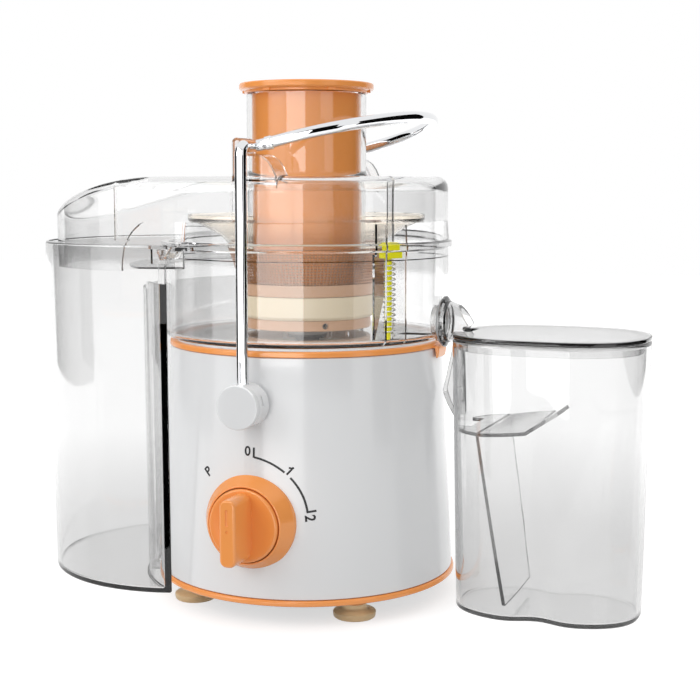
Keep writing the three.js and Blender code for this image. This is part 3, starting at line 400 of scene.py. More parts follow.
def make_shell():
    shell = turned("white_shell", [
        (86.1, 15.5), (88.2, 15.5), (88.6, 15.9), (82.55, 150.2), (82.1, 150.8), (80, 150.8),
    ])
    cut(
        shell,
        lay(disc("knob_hole", 7, 60, 100, SMALL), FRONT, (0, 0, 58)),
        lay(disc("hub_holes", 6.4, -100, 100, SMALL), FRONT, (0, 0, 125.3)),
        lay(disc("cord_hole", 6.4, -100, -60, SMALL), FRONT, (0, 0, 34)),
    )
    make_dial(finish(shell, "base", "white_gloss", "motor_housing"))
    skirt = turned("base_ring_fine", [
        (85, 12), (89.4, 12), (90, 12.6), *arc(88.6, 13.8, 1.4, 0, 90, 6), (85, 15.2),
    ])
    finish(skirt, "base", "orange_gloss", "base_ring")
    band = turned("top_band", [(79.4, 151.1), (82.5, 151.1), (82.9, 151.5), *arc(81.7, 153.1, 1.2, 0, 90, 5), (79.4, 154.3)])
    lip = side_cut("drip_lip", [
        (81.4, 151.1), (83.4, 151.1), (83.9, 148.4), (84.2, 145.6), (84.8, 145.2), (85.6, 146.4), (86.1, 149.8),
        (85.7, 151.5), (84.9, 152.2), (81.4, 152.6),
    ], -7.4, 7.4)
    finish(softened(joined(band, softened(lip, 1.6, 4)), 0.15, 1), "base", "orange_gloss", "top_ring")
    deck = turned("deck_fine", [
        (8.4, 151.1), (79.1, 151.1), (79.1, 153), (66.3, 153), (66, 153.3), (66, 155.4), (65.7, 155.7), (62.3, 155.7),
        (62, 155.4), (62, 153.3), (61.7, 153), (12.2, 153), (12.2, 160), (11.8, 160.4), (8.4, 160.4),
    ])
    pin = (PIN_REACH * math.cos(PIN_AZIMUTH), PIN_REACH * math.sin(PIN_AZIMUTH), 0)
    cut(deck, lay(disc("plunger_hole", 2.4, 148, 156, 24), place=pin))
    finish(deck, "base", "white_gloss", "motor_deck")
    gland = turned("gland_fine", [
        (3.6, 82), (5.6, 82), (5.6, 88.8), (8.4, 88.8), (8.4, 90.6), (7.6, 91.3), (4.4, 91.6), (3.6, 91),
    ], SMALL)
    finish(lay(gland, BACK, (0, 0, 34)), "base", "black_rubber", "cord_gland")


# ---------------------------------------------------------------- knob and its dial

KNOB_Z = 58
GRIP_TIP = 114.9  # how far the grip's face stands from the motor's axis


def make_knob():
    bezel = turned("knob_bezel_fine", [
        (5, 78), (27.2, 78), (27.2, 84.5), *arc(25.2, 84.9, 2, 0, 45, 4), *arc(21.9, 92.9, 0.7, 30, 90, 4),
        (21.6, 93.6), (21.4, 93.4), (21.4, 89.4), (5, 89.4),
    ], 96)
    lay(bezel, FRONT, (0, 0, KNOB_Z))
    cut(bezel, shell_solid("shell_tool", 0.1))
    finish(bezel, "base", "orange_gloss", "knob_bezel")

    cap = turned("knob_fine", [
        (0, 90.6), (20.8, 90.6), (20.8, 94), *arc(19.5, 94.1, 1.3, 0, 90, 5), (18.4, 95.3), (16.5, 94.9),
        (14, 94.4), (10, 94), (0, 93.8),
    ], 96)
    half_width, half_length, corner = 4.9, 19, 4
    plan = [
        *arc(half_width - corner, half_length - corner, corner, 0, 90, 5),
        *arc(corner - half_width, half_length - corner, corner, 90, 180, 5),
        *arc(corner - half_width, corner - half_length, corner, 180, 270, 5),
        *arc(half_width - corner, corner - half_length, corner, 270, 360, 5),
    ]
    grip = plan_cut("grip", plan, 91, GRIP_TIP)
    choose(grip)
    bpy.ops.object.mode_set(mode="EDIT")
    bpy.ops.mesh.select_all(action="DESELECT")
    bpy.ops.object.mode_set(mode="OBJECT")
    for face in grip.data.polygons:
        face.select = face.normal.z > 0.9
    bpy.ops.object.mode_set(mode="EDIT")
    bpy.ops.transform.resize(value=(0.96, 0.98, 1), center_override=(0, 0, GRIP_TIP * MM))
    bpy.ops.object.mode_set(mode="OBJECT")
    softened(grip, 1.3, 4, 60)
    cut(grip, softened(block("pointer_groove", -1, 1, 4.4, 13.6, GRIP_TIP - 0.7, GRIP_TIP + 3), 0.6, 3))
    cut(grip, lay(disc("pointer_dot", 0.8, GRIP_TIP - 0.5, GRIP_TIP + 3, 16), place=(0, 1.4, 0)))
    knob = joined(cap, grip)
    finish(lay(knob, FRONT, (0, 0, KNOB_Z)), "knob", "orange_gloss", "control_knob")


DIAL_DEPTH = 95  # marks are drawn flat in front of the shell, then pressed onto it


def on_dial(radius, degrees):
    """A place on the dial, by its distance from the knob's middle and its angle from the top, clockwise."""
    turn = math.radians(degrees)
    return radius * math.sin(turn), KNOB_Z + radius * math.cos(turn)


def dial_stroke(name, points, width):
    """A flat stroke along points (x, z), as thick as it is drawn."""
    left, right = [], []
    for i, (x, z) in enumerate(points):
        (x0, z0), (x1, z1) = points[max(i - 1, 0)], points[min(i + 1, len(points) - 1)]
        aside = Vector((z0 - z1, x1 - x0)).normalized() * width / 2
        left.append((x + aside.x, z + aside.y))
        right.append((x - aside.x, z - aside.y))
    outline = [(x, -DIAL_DEPTH, z) for x, z in [*left, *reversed(right)]]
    piece = trace(name, outline)
    bpy.ops.mesh.edge_face_add()
    bpy.ops.object.mode_set(mode="OBJECT")
    return lay(piece)


def dial_letter(name, letter, size, radius, degrees, tilt):
    x, z = on_dial(radius, degrees)
    bpy.ops.object.select_all(action="DESELECT")
    bpy.ops.object.text_add()
    piece = bpy.context.object
    piece.name = name
    piece.data.body = letter
    piece.data.align_x, piece.data.align_y = "CENTER", "CENTER"
    piece.data.size = size * MM
    piece.data.offset = 0.022 * size * MM
    bpy.ops.object.convert(target="MESH")
    return lay(lay(piece, (math.pi / 2, 0, 0)), (0, math.radians(tilt), 0), (x, -DIAL_DEPTH, z))


def dial_flag(radius, degrees, tilt):
    """The short stroke at the top of the 1."""
    x, z = on_dial(radius, degrees)
    turn = math.radians(tilt)
    along, up = Vector((math.cos(turn), -math.sin(turn))), Vector((math.sin(turn), math.cos(turn)))
    ends = [-1.7 * along + 1.2 * up, 0.2 * along + 2.3 * up]
    return [(x + end.x, z + end.y) for end in ends]


def make_dial(shell):
    """The black print: the numbers, and a stroke between them with a tick at either end."""
    sweeps = {"dial_sweep_low": (4.4, 34.5), "dial_sweep_high": (41.5, 77.4)}
    marks = []
    for name, (start, end) in sweeps.items():
        steps = 12
        turns = [start + (end - start) * i / steps for i in range(steps + 1)]
        marks.append(dial_stroke(name, [on_dial(37.6 - 4 * turn / 77.4, turn) for turn in turns], 1.15))
    marks.append(dial_stroke("dial_tick_0", [on_dial(37.1, 4), on_dial(42.8, 3.6)], 1.15))
    marks.append(dial_stroke("dial_tick_2", [on_dial(33.1, 77.2), on_dial(38.2, 77.6)], 1.15))
    marks.append(dial_letter("dial_0", "0", 7.4, 40.3, -1.6, 0))
    marks.append(dial_letter("dial_1", "1", 7.6, 38.0, 37.5, 42))
    marks.append(dial_stroke("dial_1_flag", dial_flag(38.0, 37.5, 42), 1.0))
    marks.append(dial_letter("dial_2", "2", 7.6, 34.2, 83.3, 84))
    marks.append(dial_letter("dial_pulse", "P", 7.6, 38.0, -46.4, -46))
    for mark in marks:
        choose(mark)
        bpy.ops.object.mode_set(mode="EDIT")
        bpy.ops.mesh.select_all(action="SELECT")
        bpy.ops.mesh.remove_doubles(threshold=0.001 * MM)
        bpy.ops.mesh.quads_convert_to_tris()
        bpy.ops.mesh.normals_make_consistent(inside=False)
        bpy.ops.object.mode_set(mode="OBJECT")
        mark.location = AXIS
        bpy.ops.object.transform_apply(location=True, rotation=True, scale=True)
        apply_modifier(
            mark, "SHRINKWRAP", target=shell, wrap_method="PROJECT", use_project_y=True, use_positive_direction=True,
            use_negative_direction=False, offset=0.06 * MM, wrap_mode="ABOVE_SURFACE",
        )
        apply_modifier(mark, "SOLIDIFY", thickness=0.05 * MM, offset=1)
        mark.data.materials.clear()
        mark.data.materials.append(PRINT)
        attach(mark, "base")


# ---------------------------------------------------------------- bail and its hubs

PIVOT_Z = 125.3
WIRE = 3.35  # radius of the bail's wire


def make_hubs():
    hub = turned("hub_front", [
        (0, 80.2), (6, 80.2), (6, 84.4), (10.8, 84.4), *arc(10.9, 86, 1.6, -90, 0, 4), (12.5, 98.1), (12.4, 98.2), (0, 98.2),
    ], 72)
    cut(
        hub,
        lay(disc("wire_hole", WIRE + 0.2, 0, 16, 32), BACK, (0, 0, 93)),
        disc("wire_bore", WIRE + 0.2, 79, 90, 32),
        block("detent", 10.6, 14, 0.6, 7.6, 92.5, 94.5),
    )
    lay(hub, FRONT, (0, 0, PIVOT_Z))
    cap = turned("hub_cap_front_fine", [
        (0, 98.4), (12.1, 98.4), (12.5, 98.7), *arc(11.6, 100.4, 0.9, 0, 90, 5), (9, 101.32), (0, 101.4),
    ], 72)
    lay(cap, FRONT, (0, 0, PIVOT_Z))
    rear_hub = lay(copied(hub, "hub_rear"), (0, 0, math.pi))
    rear_cap = lay(copied(cap, "hub_cap_rear_fine"), (0, 0, math.pi))
    finish(hub, "bail", "white_gloss", "pivot_hub_front")
    finish(cap, "bail", "white_gloss", "hub_cap_front")
    finish(rear_hub, "bail", "white_gloss", "pivot_hub_rear")
    finish(rear_cap, "bail", "white_gloss", "hub_cap_rear")


def rounded(points, reaches, steps=12):
    """A path with its corners rounded. Each corner's curve starts and ends at its reach from the corner."""
    corners = [Vector(point) for point in points]
    path = [corners[0]]
    for (last, corner, after), reach in zip(zip(corners, corners[1:], corners[2:]), reaches):
        enter = corner + (last - corner).normalized() * reach
        leave = corner + (after - corner).normalized() * reach
        for i in range(steps + 1):
            t = i / steps
            path.append((1 - t) ** 2 * enter + 2 * t * (1 - t) * corner + t * t * leave)
    return [*path, corners[-1]]


def wire_along(name, path, radius, sides=6):
    """A round wire along a path, with closed ends. Sides is the number of steps in a quarter turn."""
    piece = trace(name, path)
    bpy.ops.mesh.remove_doubles(threshold=0.001 * MM)
    bpy.ops.object.mode_set(mode="OBJECT")
    lay(piece)
    bpy.ops.object.convert(target="CURVE")
    piece = bpy.context.object
    piece.data.bevel_depth = radius * MM
    piece.data.bevel_resolution = sides
    piece.data.use_fill_caps = True
    bpy.ops.object.convert(target="MESH")
    piece = bpy.context.object
    bpy.ops.object.mode_set(mode="EDIT")
    bpy.ops.mesh.select_all(action="SELECT")
    bpy.ops.mesh.remove_doubles(threshold=0.001 * MM)
    bpy.ops.mesh.normals_make_consistent(inside=False)
    bpy.ops.object.mode_set(mode="OBJECT")
    return piece


def make_bail():
    top, rise = 266.7, 0.238
    half = [
        (0, -81.5, PIVOT_Z), (0, -93, PIVOT_Z), (0, -93, top), (0, -74, top),
        (39, -74, top + rise * 39), (74.5, -28, top + rise * 74.5),
    ]
    path = rounded([*half, *[(x, -y, z) for x, y, z in reversed(half)]], [5, 6, 6, 27, 27, 27, 27, 6, 6, 5])
    bail = wire_along("bail_fine", path, WIRE)
    for side in (-1, 1):
        collar = turned("ferrule", [(0, -2.4), (3.2, -2.4), (3.9, -1.6), (3.9, 1.6), (3.2, 2.4), (0, 2.4)], 32)
        lay(collar, (0, math.radians(90 - math.degrees(math.atan(rise))), 0), (8.6, side * 74, top + rise * 8.6))
        joined(bail, collar)
    finish(bail, "bail", "chromed_wire", "bail_wire")


# ---------------------------------------------------------------- bowl, spout, lid

HOOD_X = -80
PARTING = [(-66.7, 224.7), (-69.6, 223.6), (-72, 221.6), (-74.6, 219.2), (-76.6, 216.4), (-78.4, 213), (-79.8, 209),
           (-80.9, 202), (-81.5, 192)]


def hood_drop(x):
    """How far the hood's crown has fallen at x."""
    return 26 * (max(0, -62 - x) / 98) ** 1.8


def hood_solid(name, inset, z0):
    """Round in plan, with a domed top that falls away from the lid."""
    radius, crown, dome, corner = 80 - inset, 250.6 - inset, 0.4, 3
    flat = radius - corner
    rings = [(flat * i / 12, crown - dome * (i / 12) ** 2) for i in range(11, -1, -1)]
    hood = turned(name, [(0, z0), (radius, z0), *arc(flat, crown - dome - corner, corner, 0, 90, 6), *rings])
    lay(hood, place=(HOOD_X, 0, 0))
    for vertex in hood.data.vertices:
        if vertex.co.z > (z0 + 1) * MM:
            vertex.co.z -= hood_drop(vertex.co.x / MM) * MM
    return hood


def lid_solid(name, inset, z0):
    radius, top, corner = 84.9 - inset, 250.7 - inset, 7
    return turned(name, [(0, z0), (radius, z0), *arc(radius - corner, top - corner, corner, 0, 90, 10), (0, top)])


def bridge_solid(name, inset, z0):
    """Fills the valleys between the lid and the hood, flush with the sides of both."""
    lid_radius, hood_radius, top, corner = 84.9 - inset, 80 - inset, 250.65 - inset, 7
    lean = (lid_radius - hood_radius) / HOOD_X
    start, end = lean * lid_radius, HOOD_X + lean * hood_radius
    half_width = lid_radius * math.sqrt(1 - lean**2)
    half = [(half_width, z0), *arc(half_width - corner, top - corner, corner, 0, 90, 10)]
    piece = trace(name, [(start, y, z) for y, z in [*half, *[(-y, z) for y, z in reversed(half)]]])
    bpy.ops.mesh.edge_face_add()
    steps = 20
    for _ in range(steps):
        bpy.ops.mesh.extrude_region_move(TRANSFORM_OT_translate={"value": ((end - start) / steps * MM, 0, 0)})
    bpy.ops.mesh.select_all(action="SELECT")
    bpy.ops.mesh.normals_make_consistent(inside=False)
    bpy.ops.object.mode_set(mode="OBJECT")
    lay(piece)
    for vertex in piece.data.vertices:
        along = (vertex.co.x / MM - start) / (end - start)
        vertex.co.y *= 1 + (hood_radius / lid_radius - 1) * along
        if vertex.co.z > (z0 + 1) * MM:
            vertex.co.z -= hood_drop(vertex.co.x / MM) * MM
    return piece


def bin_hook(name):
    return side_cut(name, [
        (-36, 208.9), (-36, 211), (-48.6, 211), (-50.4, 208.6), (-52.2, 205.6), (-54.6, 205.4), (-56, 209.2), (-57, 209.6),
        (-57.6, 209), (-55.8, 204.4), (-55.2, 203.6), (-51.6, 203.6), (-50.6, 204.2), (-47.8, 208.9),
    ], 69, 83)


def make_bowl():
    wall = turned("bowl_fine", [
        (13.2, 156), *arc(81.8, 159.5, 3.5, -90, 0, 8), (85.3, 208.6), (86.6, 209.2), (87.2, 209.8), (87.2, 212.6), (86.6, 213.2),
        (85.7, 213.6), (84.8, 224.7), (82.7, 224.7), (83.2, 210), (83.2, 204.2), (82.6, 203.6),
        *arc(80.8, 160.2, 1.8, 0, -90, 6), (15.2, 158.4), (15.2, 163), (13.2, 163),
    ])
    gate = disc("gate", 78, 212.6, 232)
    cut(wall, lay(gate, place=(HOOD_X, 0, 0)))
    sides = lay(pipe("chute_sides", 80, 78.4, 198.3, 224.7), place=(HOOD_X, 0, 0))
    common(sides, side_cut("chute_outline", [(-40, 190), *reversed(PARTING), (-40, 225.5)], -100, 100))
    floor = lay(disc("chute_floor", 79, 198.3, 199.3), place=(HOOD_X, 0, 0))
    cut(floor, disc("bowl_round", 84.3, 190, 232), pipe("beyond_chute", 200, 106, 190, 232))
    hook = bin_hook("hook_front")
    hook_twin = across(hook, "hook_rear")
    chute = joined(sides, floor, hook, hook_twin)
    cut(chute, disc("bowl_inside", 84.2, 150, 232))
    outer = block("channel", 71.4, 84, -7.7, 7.7, 157.4, 207)
    joined(outer, block("channel_upper", 73.6, 84, -7.7, 7.7, 206, 223.6))
    inner = block("channel_hollow", 72.6, 88, -6.5, 6.5, 158.4, 205.8)
    joined(inner, block("channel_hollow_upper", 74.8, 88, -6.5, 6.5, 205, 224.6))
    lay(cut(outer, inner), (0, 0, PIN_AZIMUTH))
    common(outer, disc("channel_bound", 84.3, 150, 230))
    boss = lay(pipe("spout_boss", 11.8, 9.7, 78, 85.2, 72), RIGHT, (0, 0, 166.4))
    cut(boss, disc("boss_bound", 83.6, 140, 190))
    joined(wall, chute, outer)
    cut(wall, lay(disc("spout_hole", 9.7, 60, 90, 72), RIGHT, (0, 0, 166.4)))
    joined(wall, boss)
    pin = (PIN_REACH * math.cos(PIN_AZIMUTH), PIN_REACH * math.sin(PIN_AZIMUTH), 0)
    cut(wall, lay(disc("pin_hole", 2.4, 150, 162, 24), place=pin))
    finish(wall, "base", "clear_plastic", "juice_bowl", "bowl_chute", "spout_socket")


def make_spout():
    spout = turned("spout_fine", [
        (7.8, 80), (9.4, 80), (9.4, 87), (14.2, 87), (14.8, 87.2), (15, 87.8), (14.6, 88.5), (12.6, 89.2), (7.3, 104),
        (5.7, 104), (10.6, 90.4), (7.8, 88.4),
    ], 96)
    lay(spout, RIGHT, (0, 0, 166.4))
    cut(
        spout,
        side_cut("slant_upper", [(93.6, 181), (103.2, 165), (120, 165), (120, 181)], -20, 20),
        side_cut("slant_lower", [(103.2, 165.1), (97.2, 159), (97.2, 150), (120, 150), (120, 165.1)], -20, 20),
    )
    finish(spout, "base", "clear_plastic", "juice_spout", skin="smoky_plastic")
    seal = turned("spout_seal_fine", [(9.7, 85.5), (12.9, 85.5), (13.2, 85.8), (13.2, 86.4), (12.9, 86.7), (9.7, 86.7)], 72)
    finish(lay(seal, RIGHT, (0, 0, 166.4)), "base", "grey_plastic", "spout_seal")


def bail_ear(name):
    """An ear that the bail snaps over. The wire lies in its notch."""
    seat, crown = 3.95, 262.75
    ear = side_cut(name, [
        (-9.4, 244), *arc(-6.4, 268.4, 3, 180, 20, 8), (-seat, 267.4), (-seat, crown + 2.4), (-2.4, crown + 0.5), (0, crown),
        (4, crown - 0.1), (8.4, crown - 0.9), (12, crown - 3.4), (14.6, crown - 7), (16.2, crown - 10.4), (17, 250.9), (17, 244),
    ], -84, -68)
    hollow = side_cut(name + "_hollow", [
        (-8.1, 243), *arc(-6.4, 268.4, 1.7, 180, 60, 6), (-seat - 1.3, 267.4), (-seat - 1.3, crown + 1.9), (-3, crown - 0.8),
        (0, crown - 1.3), (3.9, crown - 1.4), (7.9, crown - 2.1), (11, crown - 4.3), (13.4, crown - 7.7), (15, crown - 11),
        (15.7, 250.5), (15.7, 243),
    ], -82.6, -60)
    return cut(ear, hollow, lid_solid("lid_tool", 0.6, 225))


def make_lid():
    shell = joined(lid_solid("lid_fine", 0, 225), bridge_solid("bridge", 0.05, 197), hood_solid("hood", 0, 197))
    hollow = joined(
        lid_solid("lid_hollow", 2.2, 190), bridge_solid("bridge_hollow", 2.2, 190), hood_solid("hood_hollow", 2, 190),
    )
    cut(shell, hollow)
    below = [(100, 180), (100, 225), (-67, 225), *[(x - 0.3, z) for x, z in PARTING[1:]], (-81.8, 180)]
    cut(shell, side_cut("below_seam", below, -100, 100))
    post = block("pin_post", 75.4, 79.8, -0.8, 0.8, 214.1, 249.7)
    joined(shell, lay(post, (0, 0, PIN_AZIMUTH)))
    rib = side_cut("hood_rib", [
        (-86.8, 214.1), (-78.6, 214.1), (-78.6, 215.1), (-85.8, 215.1), (-85.8, 247), (-86.8, 247),
    ], -79, -75.6)
    rib_twin = across(rib, "hood_rib_rear")
    joined(shell, rib, rib_twin)
    cut(shell, disc("tube_hole", 34.6, 200, 262))
    tube = turned("tube", [
        (33.7, 196.6), (34, 196), (34.8, 196), (35.1, 196.6), (35.7, 248.8), (36, 249), (38.8, 249.6), (39.2, 250.4),
        *arc(39, 253.9, 3.3, -90, -180, 6), (35.7, 299), (35.2, 299.6), (34.1, 299.6), (33.7, 299),
    ])
    joined(shell, tube)
    ear = bail_ear("ear_front")
    twin = across(ear, "ear_rear")
    joined(shell, ear, twin)
    finish(shell, "base", "clear_plastic", "lid", "feed_tube", "bail_ear_front", "bail_ear_rear")


# ---------------------------------------------------------------- interlock pin and spring


def at_pin(piece):
    return lay(lay(piece, place=(PIN_REACH, 0, 0)), (0, 0, PIN_AZIMUTH))


def make_interlock():
    rod = turned("pin_fine", [(0, 158.2), (1.1, 158.2), (1.3, 158.8), (1.3, 163.4), (1.8, 164), (1.8, 206), (0, 206)], 32)
    lay(rod, place=(0, -0.8, 0))
    joined(rod, softened(block("pin_collar", -1.9, 4.6, -5.6, 5.6, 205, 209.2), 0.5, 3))
    joined(rod, softened(block("pin_head", -1.7, 3.4, -4.2, 4.2, 208, 213.5), 0.6, 3))
    finish(at_pin(rod), "interlock_pin", "yellow_plastic", "interlock_pin")

    foot, top, turns, wire = 161.3, 204.2, 15, 0.42
    bpy.ops.object.select_all(action="DESELECT")
    bpy.ops.mesh.primitive_circle_add(
        vertices=8, radius=wire * MM, location=(3.1 * MM, 0, foot * MM), rotation=(math.pi / 2, 0, 0),
    )
    spring = bpy.context.object
    spring.name = "spring_fine"
    lay(spring)
    apply_modifier(
        spring, "SCREW", angle=math.tau, iterations=turns, steps=22, render_steps=22, screw_offset=(top - foot) / turns * MM,
        use_merge_vertices=False, use_normal_calculate=True,
    )
    bpy.ops.object.mode_set(mode="EDIT")
    bpy.ops.mesh.select_all(action="SELECT")
    bpy.ops.mesh.fill_holes(sides=0)
    bpy.ops.mesh.normals_make_consistent(inside=False)
    bpy.ops.object.mode_set(mode="OBJECT")
    spring = finish(at_pin(spring), "base", "stainless_steel", "interlock_spring", skin="spring_steel")
    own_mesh(spring)


# ---------------------------------------------------------------- sieve basket


def make_basket():
    base = turned("basket_base_fine", [
        (0, 164.6), (11, 164.6), (11, 178.3), (39, 178.3), (36.1, 168.6), (36.1, 167.2), (38.6, 167.2), (39, 167.5),
        (40.8, 168.6), (41.4, 169.6), (41.4, 180.1), (40.8, 180.7), (5.6, 180.7), (5.6, 182.2),
        (5, 182.6), (0, 183.3),
    ])
    foot = turned("basket_foot", [
        (36.1, 161.4), (36.5, 161), (38.1, 161), (38.5, 161.4), (38.5, 166.9), (38.2, 167.1), (36.1, 167.1),
    ])
    for degrees in (-51.6, 68.4, 188.4):
        cut(foot, lay(lay(disc("pin_hole", 1.8, 30, 45, 24), RIGHT, (0, 0, 164)), (0, 0, math.radians(degrees))))
    # The foot wears the darker copy of the cream plastic, which is painted shade.
    finish(foot, "rotor", "cream_plastic", skin="cream_painted_shade")
    socket = [(8 * math.cos(math.radians(30 * i)) * (1 - 0.17 * (i % 2)), 8 * math.sin(math.radians(30 * i)) * (1 - 0.17 * (i % 2)))
              for i in range(12)]
    cut(base, plan_cut("socket", socket, 160, 174))
    finish(base, "rotor", "cream_plastic", "basket_base")

    band = turned("mesh_foot_band", [(38.9, 181), (40.3, 181), (41.2, 187.4), (41, 187.8), (40.3, 187.8)])
    # The band under the sieve wears the same darker copy of the cream plastic, which is painted shade.
    finish(band, "rotor", "cream_plastic", skin="cream_painted_shade")

    rows, columns = 13, 132
    cone = trace("mesh_cone_fine", [(40.6 + 6.8 * i / rows, 0, 187.4 + 22 * i / rows) for i in range(rows + 1)])
    bpy.ops.mesh.spin(steps=columns, angle=math.tau, center=(0, 0, 0), axis=(0, 0, 1))
    bpy.ops.mesh.select_all(action="SELECT")
    bpy.ops.mesh.remove_doubles(threshold=0.001 * MM)
    bpy.ops.mesh.normals_make_consistent(inside=False)
    bpy.ops.mesh.inset(thickness=0.42 * MM, use_individual=True)
    bpy.ops.mesh.delete(type="FACE")
    bpy.ops.object.mode_set(mode="OBJECT")
    lay(cone)
    apply_modifier(cone, "SOLIDIFY", thickness=0.35 * MM, offset=0)
    finish(cone, "rotor", "stainless_steel", "mesh_cone", skin="sieve_steel")

    rim = turned("basket_rim_fine", [
        (46.6, 209.7), (48.2, 209.7), (48.6, 210.4), (52.6, 213.9), (60.6, 218.9), (69.6, 223.7), (70.6, 224.6), (71, 225.7),
        (71, 228), (70.6, 228.5), (69.6, 228.5), (69.2, 228), (69.2, 226.3), (59.6, 220.5), (51.2, 215.1), (47, 211.2),
    ])
    finish(rim, "rotor", "cream_plastic", "basket_rim", skin="rim_plastic")


# ---------------------------------------------------------------- pusher


def make_pusher():
    body = turned("pusher_fine", [
        (0, 188), (31.4, 188), *arc(31.4, 189.2, 1.2, -90, 0, 4), (32.6, 299.6), (30.6, 299.6), (30.6, 190), (0, 190),
    ])
    finish(body, "pusher", "orange_gloss", "pusher_body")
    cap = turned("pusher_cap_fine", [
        (28.3, 292.7), (30.3, 292.7), (30.3, 299.9), (36.6, 299.9), (37, 300.2), (37.2, 301), (39.4, 301.6), (40.1, 302.4),
        (40.1, 304.4), *arc(39, 304.5, 1.1, 0, 90, 5), (36, 305.4), (33, 304.9), (0, 304.9), (0, 303.2), (28.3, 303.2),
    ])
    tab = softened(block("pusher_tab", 35.6, 38.4, -2.4, 2.4, 300, 301.8), 0.4, 2)
    for i in range(6):
        joined(cap, lay(copied(tab, "tab"), (0, 0, math.radians(60 * i - 45))))
    bpy.data.objects.remove(tab)
    finish(cap, "pusher", "orange_gloss", "pusher_cap")


# ---------------------------------------------------------------- pulp bin


def bin_plan(outer, inner, steps=60):
    """A circle with the bowl's circle bitten out of it."""
    corner_x = (HOOD_X**2 + inner**2 - outer**2) / (2 * HOOD_X)
    corner_y = math.sqrt(inner**2 - corner_x**2)
    outer_angle = math.degrees(math.atan2(corner_y, corner_x - HOOD_X))
    inner_angle = math.degrees(math.atan2(corner_y, corner_x))
    round_side = arc(HOOD_X, 0, outer, outer_angle, 360 - outer_angle, steps)
    hollow_side = arc(0, 0, inner, -inner_angle + 360, inner_angle, steps // 3)
    return [*round_side[:-1], *hollow_side[:-1]]


def bin_solid(name, inset, z0, z1):
    """The bin widens from 85 to 87.5 between its foot and its rim."""
    solid = plan_cut(name, bin_plan(85 - inset, 95.7 + inset), z0, z1)
    for vertex in solid.data.vertices:
        widening = 1 + 0.0294 * (vertex.co.z / MM - 10) / 202
        vertex.co.x = HOOD_X * MM + (vertex.co.x - HOOD_X * MM) * widening
        vertex.co.y *= widening
    return solid


def make_bin():
    walls = softened(bin_solid("bin_fine", 0, 10, 212), 1.3, 4, 50)
    cut(walls, softened(bin_solid("bin_hollow", 2, 12.4, 216), 1.4, 3, 50))
    tall = disc("inlet_round", 102, 186, 217)
    inlet = common(copied(tall, "inlet"), block("inlet_block", -130, 0, -64, 64, 186, 217))
    gaps = common(tall, block("gap_block", -130, 0, -80.6, 80.6, 190, 217))
    cut(walls, inlet, gaps, block("hook_gaps", -60, 0, -100, 100, 201.6, 217))
    lip = side_cut("bin_lip", [
        (-62, 209.8), (-54.6, 209.8), (-54.2, 209.4), (-54.2, 205.8), (-52.6, 205.8), (-52.6, 211.2), (-53.4, 212), (-62, 212),
    ], 79, 84)
    lip_twin = across(lip, "bin_lip_rear")
    rest = lay(block("rest_pad", -98, -90.6, -4, 4, 12, 15.2), (0, 0, math.radians(25)))
    rest_twin = across(rest, "rest_pad_front")
    joined(walls, lip, lip_twin, rest, rest_twin)
    finish(walls, "pulp_bin", "clear_plastic", "pulp_bin", skin="smoky_plastic")


# ---------------------------------------------------------------- juice jug

JUG_X, JUG_TOP = 151, 158.8


def jug_outline(rise, inset, steps=200):
    """A rounded oblong, drawn in at the middle of each long side towards the foot."""
    length = 53.5 + 2.3 * rise - inset
    width = 34.5 + 12.5 * rise - inset
    waist = 6.5 - 5.8 * rise
    points = []
    for i in range(steps):
        c, s = math.cos(math.tau * i / steps), math.sin(math.tau * i / steps)
        x = length * math.copysign(abs(c) ** 0.8, c)
        y = width * math.copysign(abs(s) ** 0.8, s) - math.copysign(waist * math.exp(-((x / 13) ** 2)), s)
        points.append((JUG_X + x, y if s else 0))
    return points


def jug_solid(name, inset, z0, z1):
    low, high = jug_outline(z0 / JUG_TOP, inset), jug_outline(z1 / JUG_TOP, inset)
    solid = plan_cut(name, low, z0, z1)
    for vertex in solid.data.vertices:
        if vertex.co.z > (z0 + 1) * MM:
            here = min(range(len(low)), key=lambda i: (low[i][0] - vertex.co.x / MM) ** 2 + (low[i][1] - vertex.co.y / MM) ** 2)
            vertex.co.x, vertex.co.y = high[here][0] * MM, high[here][1] * MM
    return solid


def make_jug():
    walls = softened(jug_solid("jug_fine", 0, 0, JUG_TOP), 2, 4, 50)
    hollow = softened(jug_solid("jug_hollow", 2, 2.6, JUG_TOP + 4), 1.2, 3, 50)
    lug = side_cut("jug_lug", [
        (97.5, 157), (94.6, 157), (93.6, 150), (88.6, 127), (88.8, 125), (91, 119), (97.5, 108),
    ], -8, 8)
    softened(lug, 0.8, 2)
    cut(lug, copied(hollow, "lug_bound"))
    cut(walls, hollow)
    joined(walls, lug)
    cut(walls, block("spout_notch", 85, 110, -10, 10, 154.8, 165))
    finish(walls, "jug", "clear_plastic", "juice_jug", skin="smoky_plastic")

    plate = softened(plan_cut("jug_lid_fine", jug_outline(1, 0), 159.1, 161.8), 0.8, 3, 50)
    skirt = plan_cut("lid_skirt", jug_outline(1, 3.6), 153.1, 160)
    cut(skirt, plan_cut("skirt_hollow", jug_outline(1, 5.4), 152, 159.1))
    joined(plate, skirt)
    cut(plate, block("lid_notch", 71, 105.5, -10, 10, 149, 169))
    finish(plate, "jug_lid", "clear_plastic", "jug_lid", skin="smoky_plastic")

    inside = jug_solid("jug_inside", 2.6, 8, 140)
    shelf = side_cut("separator_fine", [
        (90, 106), (120, 106), (145.6, 108.8), (164.4, 121.4), (163.4, 123.2), (145, 110.8), (119.6, 108), (90, 108),
    ], -60, 60)
    joined(shelf, side_cut("leaning_plate", [(116.4, 107), (131.8, 9), (133.8, 9), (118.4, 107)], -60, 60))
    cut(shelf, block("pour_gap", 80, 108, -14, 14, 100, 112), block("beside_ramp", 146, 170, -12, 60, 106, 130))
    common(shelf, inside)
    finish(shelf, "jug", "clear_plastic", "froth_separator")


# ---------------------------------------------------------------- studio

FLOOR_SIZE = 6.0


